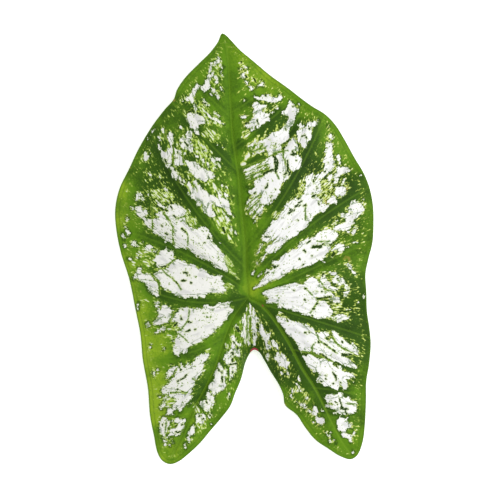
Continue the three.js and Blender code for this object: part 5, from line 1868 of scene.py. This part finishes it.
@dataclass(frozen=True)
class UpperFace(Finish):
    """Living caladium tissue, upper face: satin wax over green cells, and air under the white ones.

    The eye gets a soft even gloss, saturated greens, and whites that are flat and chalky. Quilting,
    net veins and flecks have the size that they have on a grown blade. The finest specks are smaller
    there and are drawn a millimetre wide, so that they show.
    """

    name: str = "caladium leaf tissue, waxed upper face"
    values: tuple[str, ...] = (
        "white", "flecks", "lace", "mark", "veinlet", "veinlet_near", "blush", "crimson", "tone", "band",
        "left", "from_main", "rib_light", "from_side", "side_near", "from_rim",
    )
    sources: tuple[Source, ...] = (
        Source("mottle", 7.0),
        Source("fine", 1.1),
        Source("teeth", 1.8, drawn_out=1.9, on_grain=True),
        Source("small_teeth", 0.75, detail=1.0),
        Source("lumps", 1.4),
        Source("quilt", 5.5),
        Source("net", 3.4, Pattern.CELL_EDGES),
        Source("streaks", 0.95, detail=2.5, drawn_out=3.2, on_grain=True),
        Source("folds", 4.2, detail=1.5, drawn_out=2.1, on_grain=True),
        Source("cells", 1.5, Pattern.CELL_EDGES, drawn_out=3.2, on_grain=True),
        Source("cracks", 5.0, Pattern.CELL_EDGES, drawn_out=2.1, on_grain=True),
    )
    # Distances in mm and patterns from 0 to 1, each with its weight. A patch, an island of the lace and an
    # open fleck are where their totals are above 0
    mixes: tuple[Mix, ...] = (
        Mix("patch", -2.15, (("white", 1.0), ("teeth", 2.4), ("small_teeth", 1.9))),
        Mix("island", -2.65, (("cells", 5.0), ("streaks", 2.4), ("lumps", 1.6), ("off_lace", 3.0))),
        Mix("open_fleck", -6.4, (("streaks", 4.8), ("lumps", 3.2), ("flecks", 2.45))),
        Mix("shade", -0.5, (("tone", 1.0), ("mottle", 0.6), ("fine", 0.4), ("band", -0.14))),
        Mix("speck", 0.14, (("fine", 1.0), ("mottle", -0.28))),
        Mix("depth", 0.0, (("white", 1.0), ("mottle", -5.0))),
        Mix("uneven", -0.9, (("teeth", 1.0), ("small_teeth", 0.8))),
        Mix("crack", 0.0, (("cracks", 1.0), ("uneven", 0.17))),
        Mix("thread", 0.0, (("off_veinlet", 1.0), ("uneven", 1.5))),
        Mix("slit", 0.0, (("mark", 1.0), ("uneven", 1.5))),
        Mix("blushed", 0.0, (("blush", 1.0), ("uneven", 1.2))),
    )
    roughness: float = 0.52
    specular: float = 0.1
    relief_mm: float = 0.3
    quilt_share: float = 1.2
    net_share: float = 0.3
    net_width: float = 0.15
    edge_vein_in_mm: float = 2.4
    green_deep: str = "#213a08"
    green_dark: str = "#31510d"
    green_mid: str = "#578013"
    green_bright: str = "#86a522"
    green_slit: str = "#223c08"
    green_thread: str = "#3f6613"
    green_dot: str = "#a3ba48"
    vein_green: str = "#6a9020"
    rim_green: str = "#48690f"
    lace_pale: str = "#bccb62"
    lace_left: str = "#a8c152"
    white: str = "#e4e4e2"
    white_left: str = "#dfdfd9"
    white_fold: str = "#b9bab8"
    blush: str = "#a58c45"
    crimson: str = "#a83a4c"

    def work_out(self, tree: Tree, found: Found) -> None:
        """Adds distances, mixes and shares to the values found, so that the coats can read them.

        A spot is in a fleck where it is in an island or an open fleck, and pale where it is in a
        fleck or a patch. White cracks near the patches' edges and where the mottle is high.

        Args:
            tree: the finish's node tree.
            found: the values found so far, by name.
        """
        from_edge_vein = add_node(
            tree, "ShaderNodeMath", {0: found["from_rim"], 1: self.edge_vein_in_mm}, operation="SUBTRACT",
        )
        for name, value in (
            ("off_side", found["from_side"]), ("off_veinlet", found["veinlet"]),
            ("off_edge_vein", from_edge_vein),
        ):
            found[name] = add_node(tree, "ShaderNodeMath", {0: value}, operation="ABSOLUTE")
        found["off_lace"] = add_node(tree, "ShaderNodeMath", {0: found["lace"], 1: 0.0}, operation="MINIMUM")
        for mix in self.mixes:
            mix.add(tree, found)
        for name, one, other in (("fleck", "island", "open_fleck"), ("pale", "patch", "fleck")):
            pair = {0: found[one], 1: found[other]}
            found[name] = add_node(tree, "ShaderNodeMath", pair, operation="MAXIMUM")
        for name, value, none_at, full_at in (
            ("inside", "patch", 0.2, 0.7), ("by_edge", "patch", 4.5, 1.0),
            ("on_white", "patch", 0.0, 0.2), ("shallow", "depth", 0.2, -1.2),
        ):
            found[name] = add_node(tree, "ShaderNodeMapRange", {
                "Value": found[value], "From Min": none_at, "From Max": full_at,
            })
        pair = {0: found["shallow"], 1: found["on_white"]}
        found["cracked"] = add_node(tree, "ShaderNodeMath", pair, operation="MULTIPLY")

    def colour(self, tree: Tree, found: Found) -> Socket:
        """Lays the face's colours: greens, veins, flecks, whites, then marks and edges.

        Args:
            tree: the finish's node tree.
            found: the values and patterns found, by name.

        Returns:
            The colour on top.
        """
        self.work_out(tree, found)
        # Lace and white on the leaf's left half are darker copies: painted shade, that half lying away from
        # the lamp
        lace = lay_coats(tree, found, self.lace_pale, Coat("left", 0.0, 1.0, self.lace_left))
        chalk = lay_coats(
            tree, found, self.white,
            Coat("left", 0.0, 1.0, self.white_left),
            Coat("mottle", 0.5, 0.75, lace, 0.06),
            # Painted shade of folds: grey streaks along the grain on the white
            Coat("folds", 0.5, 0.68, self.white_fold, 0.55),
        )
        return lay_coats(
            tree, found, self.green_deep,
            # Greens from deep to bright, carrying the painted highlight and shade of the tone spots, then the
            # vein along the edge and the side veins
            Coat("shade", -0.45, 0.05, self.green_dark),
            Coat("shade", 0.0, 0.5, self.green_mid),
            Coat("shade", 0.5, 1.0, self.green_bright),
            Coat("off_edge_vein", 0.55, 0.1, self.green_dark, 0.3),
            Coat("off_side", 0.8, 0.25, self.vein_green, 0.24, "side_near"),
            # Shade and halo round flecks and patches, then the flecks and the patches
            Coat("fleck", -0.5, -0.2, self.green_dot, 0.5),
            Coat("patch", -1.4, -0.3, self.green_deep, 0.75),
            Coat("fleck", -0.4, -0.05, self.green_dark, 0.5),
            Coat("pale", -0.12, 0.1, lace),
            Coat("fleck", 0.25, 0.9, chalk, 0.8),
            Coat("patch", -0.8, -0.3, self.green_thread, 0.3),
            Coat("patch", -0.05, 0.25, chalk),
            # Green specks, cracks, veinlets and slits in the white
            Coat("speck", 0.375, 0.335, self.green_dot, 0.75, "inside"),
            Coat("speck", 0.335, 0.3, self.green_thread, 0.85, "inside"),
            Coat("fine", 0.33, 0.29, self.green_mid, 0.8, "by_edge"),
            Coat("crack", 0.045, 0.015, self.green_thread, 0.75, "cracked"),
            Coat("thread", 0.95, 0.5, self.green_dot, 0.5, "veinlet_near"),
            Coat("thread", 0.5, 0.22, self.green_thread, 0.9, "veinlet_near"),
            Coat("slit", 1.1, 0.75, self.green_dot, 0.45),
            Coat("slit", 0.66, 0.42, self.green_slit),
            # Painted shade beside the main veins on the leaf's left half, then the main veins, rim and
            # blushes
            Coat("from_main", 1.9, 0.9, self.green_dark, 0.25, "left"),
            Coat("from_main", 1.0, 0.2, self.vein_green, 1.0, "rib_light"),
            Coat("from_rim", 0.95, 0.35, self.rim_green, 0.6),
            Coat("blushed", -0.2, 0.6, self.blush, 0.5),
            Coat("crimson", -0.2, 0.4, self.crimson),
        )

    def relief(self, tree: Tree, found: Found) -> Socket:
        """Low quilting between the veins, with net veins sunk into it."""
        net = add_node(tree, "ShaderNodeMapRange", {
            "Value": found["net"], "From Max": self.net_width, "To Max": self.net_share,
        })
        return add_node(tree, "ShaderNodeMath", {0: found["quilt"], 1: self.quilt_share, 2: net},
                        operation="MULTIPLY_ADD")


@dataclass(frozen=True)
class Underside(Finish):
    """The same tissue from below: paler, greyer and duller, with pale raised ribs."""

    name: str = "caladium leaf tissue, underside"
    values: tuple[str, ...] = ("under_main", "under_side", "under_white")
    sources: tuple[Source, ...] = (
        Source("mottle", 9.0), Source("uneven", 1.6), Source("net", 4.0, Pattern.CELL_EDGES),
    )
    mixes: tuple[Mix, ...] = (Mix("through", -2.0, (("under_white", 1.0), ("uneven", 4.0))),)
    roughness: float = 0.62
    specular: float = 0.2
    relief_mm: float = 0.2
    relief_strength: float = 0.7
    net_width: float = 0.12
    ground: str = "#7d9a50"
    ground_pale: str = "#97ad70"
    show_through: str = "#bccaa6"
    net_green: str = "#6c8942"
    rib: str = "#b7c790"

    def colour(self, tree: Tree, found: Found) -> Socket:
        """Mottled ground, white patches that show through, a fine net and pale ribs.

        Args:
            tree: the finish's node tree.
            found: the values and patterns found, by name.

        Returns:
            The colour on top.
        """
        for mix in self.mixes:
            mix.add(tree, found)
        pair = {0: found["under_main"], 1: found["under_side"]}
        found["from_vein"] = add_node(tree, "ShaderNodeMath", pair, operation="MINIMUM")
        return lay_coats(
            tree, found, self.ground,
            Coat("mottle", 0.3, 0.7, self.ground_pale),
            Coat("through", -0.9, 0.5, self.show_through, 0.75),
            Coat("net", 0.09, 0.02, self.net_green, 0.3),
            Coat("from_vein", 1.1, 0.5, self.rib),
        )

    def relief(self, tree: Tree, found: Found) -> Socket:
        """Net veins that stand up."""
        return add_node(tree, "ShaderNodeMapRange", {
            "Value": found["net"], "From Min": self.net_width, "From Max": 0.0,
        })


@dataclass(frozen=True)
class StalkSkin(Finish):
    """Fresh leaf stalk: smooth waxy pale green skin with faint stripes along it."""

    name: str = "caladium stalk, smooth skin"
    sources: tuple[Source, ...] = (Source("stripes", 0.8, drawn_out=10.0),)
    roughness: float = 0.45
    skin: str = "#8aa657"
    stripe: str = "#75924a"

    def colour(self, tree: Tree, found: Found) -> Socket:
        """Stripes drawn out along the stalk."""
        return lay_coats(tree, found, self.stripe, Coat("stripes", 0.3, 0.7, self.skin))


@dataclass(frozen=True)
class StalkCut(Finish):
    """Knife-cut stalk tissue: moist pale pith with darker bundle dots."""

    name: str = "caladium stalk, knife-cut end"
    sources: tuple[Source, ...] = (Source("bundles", 0.55, Pattern.CELL_MIDDLES),)
    ior: float = 1.36
    roughness: float = 0.35
    pith: str = "#d5dcae"
    bundle: str = "#9aab62"

    def colour(self, tree: Tree, found: Found) -> Socket:
        """Dots at the middles of random cells as large as the bundles' spacing."""
        return lay_coats(tree, found, self.pith, Coat("bundles", 0.35, 0.2, self.bundle))


@dataclass(frozen=True)
class LightTable(Finish):
    """Opal glass of a light table, matt: an even white that glows a little."""

    name: str = "opal light table, matt"
    roughness: float = 0.9
    specular: float = 0.1
    glow: float = 0.4
    opal: str = "#ffffff"

    def colour(self, tree: Tree, found: Found) -> Colour:
        """Plain white."""
        return linear(self.opal)


@dataclass
class Studio:
    """White light table, soft daylight and a camera straight above the leaf."""

    plan: LeafPlan
    floor_half_mm: float = 4000.0
    floor_drop_mm: float = 0.2
    frame_pixels: float = 480.0
    lens_mm: float = 200.0
    sensor_mm: float = 36.0
    sight_height_mm: float = 3.0
    clip_m: tuple[float, float] = (0.1, 10.0)
    sky_strength: float = 0.92
    key_watts: float = 3.6
    key_size_mm: float = 700.0
    key_place_mm: tuple[float, float, float] = (560.0, 120.0, 620.0)

    def floor(self) -> bpy.types.Object:
        """The ground: one flat square just under the leaf.

        Returns:
            The piece, which is the stage.
        """
        half, z = self.floor_half_mm, -self.floor_drop_mm
        corners = np.array([(-half, -half, z), (half, -half, z), (half, half, z), (-half, half, z)])
        floor = new_piece("paper_ground", corners, np.array([(0, 1, 2), (0, 2, 3)]))
        floor.data.materials.append(LightTable().material())
        return floor

    def lights(self) -> None:
        """Even light from all round and one large soft lamp from the right."""
        scene = bpy.context.scene
        scene.world = bpy.data.worlds.new("soft daylight")
        scene.world.use_nodes = True
        sky = scene.world.node_tree.nodes["Background"]
        sky.inputs["Color"].default_value = linear("#ffffff")
        sky.inputs["Strength"].default_value = self.sky_strength
        lamp = bpy.data.lights.new("soft lamp", "AREA")
        lamp.shape = "SQUARE"
        lamp.size = self.key_size_mm * METRES
        lamp.energy = self.key_watts
        key = bpy.data.objects.new("soft_lamp", lamp)
        key.location = Vector(self.key_place_mm) * METRES
        key.rotation_euler = (-Vector(key.location)).to_track_quat("-Z", "Y").to_euler()
        scene.collection.objects.link(key)

    def camera(self) -> None:
        """Looks straight down, as far away as makes the frame as wide as the photograph's.

        The width seen is the frame's pixels times the millimetres in one chart unit; the distance
        is half of it over half the sensor times the lens.
        """
        view = bpy.data.cameras.new("overhead view")
        view.lens = self.lens_mm
        view.sensor_width = self.sensor_mm
        camera = bpy.data.objects.new("overhead_view", view)
        width = self.frame_pixels * self.plan.unit_mm
        away = width / self.sensor_mm * self.lens_mm
        middle = self.plan.place((self.frame_pixels / 2, self.frame_pixels / 2))
        camera.location = Vector((*middle, away + self.sight_height_mm)) * METRES
        view.clip_start, view.clip_end = self.clip_m
        bpy.context.scene.collection.objects.link(camera)
        bpy.context.scene.camera = camera

    def build(self) -> None:
        """Sets the ground, the light and the camera."""
        self.floor()
        self.lights()
        self.camera()
        bpy.context.scene.view_settings.view_transform = "Standard"


def main() -> None:
    """Builds the leaf and its studio."""
    logging.basicConfig(level=logging.INFO, format="%(name)s: %(message)s")
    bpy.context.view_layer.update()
    low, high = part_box(LEAF_NODE)
    plan = LeafPlan(length_mm=(high.y - low.y) / METRES)
    log.info("leaf %.1f mm long, %d columns", plan.length_mm, len(plan.columns.flank))
    blade = LeafBlade(plan)
    blade.build(UpperFace().material(), Underside().material())
    CutStalk(plan, blade.form.junction_height).build(StalkSkin().material(), StalkCut().material())
    Studio(plan).build()
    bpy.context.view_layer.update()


if __name__ == "__main__":
    main()
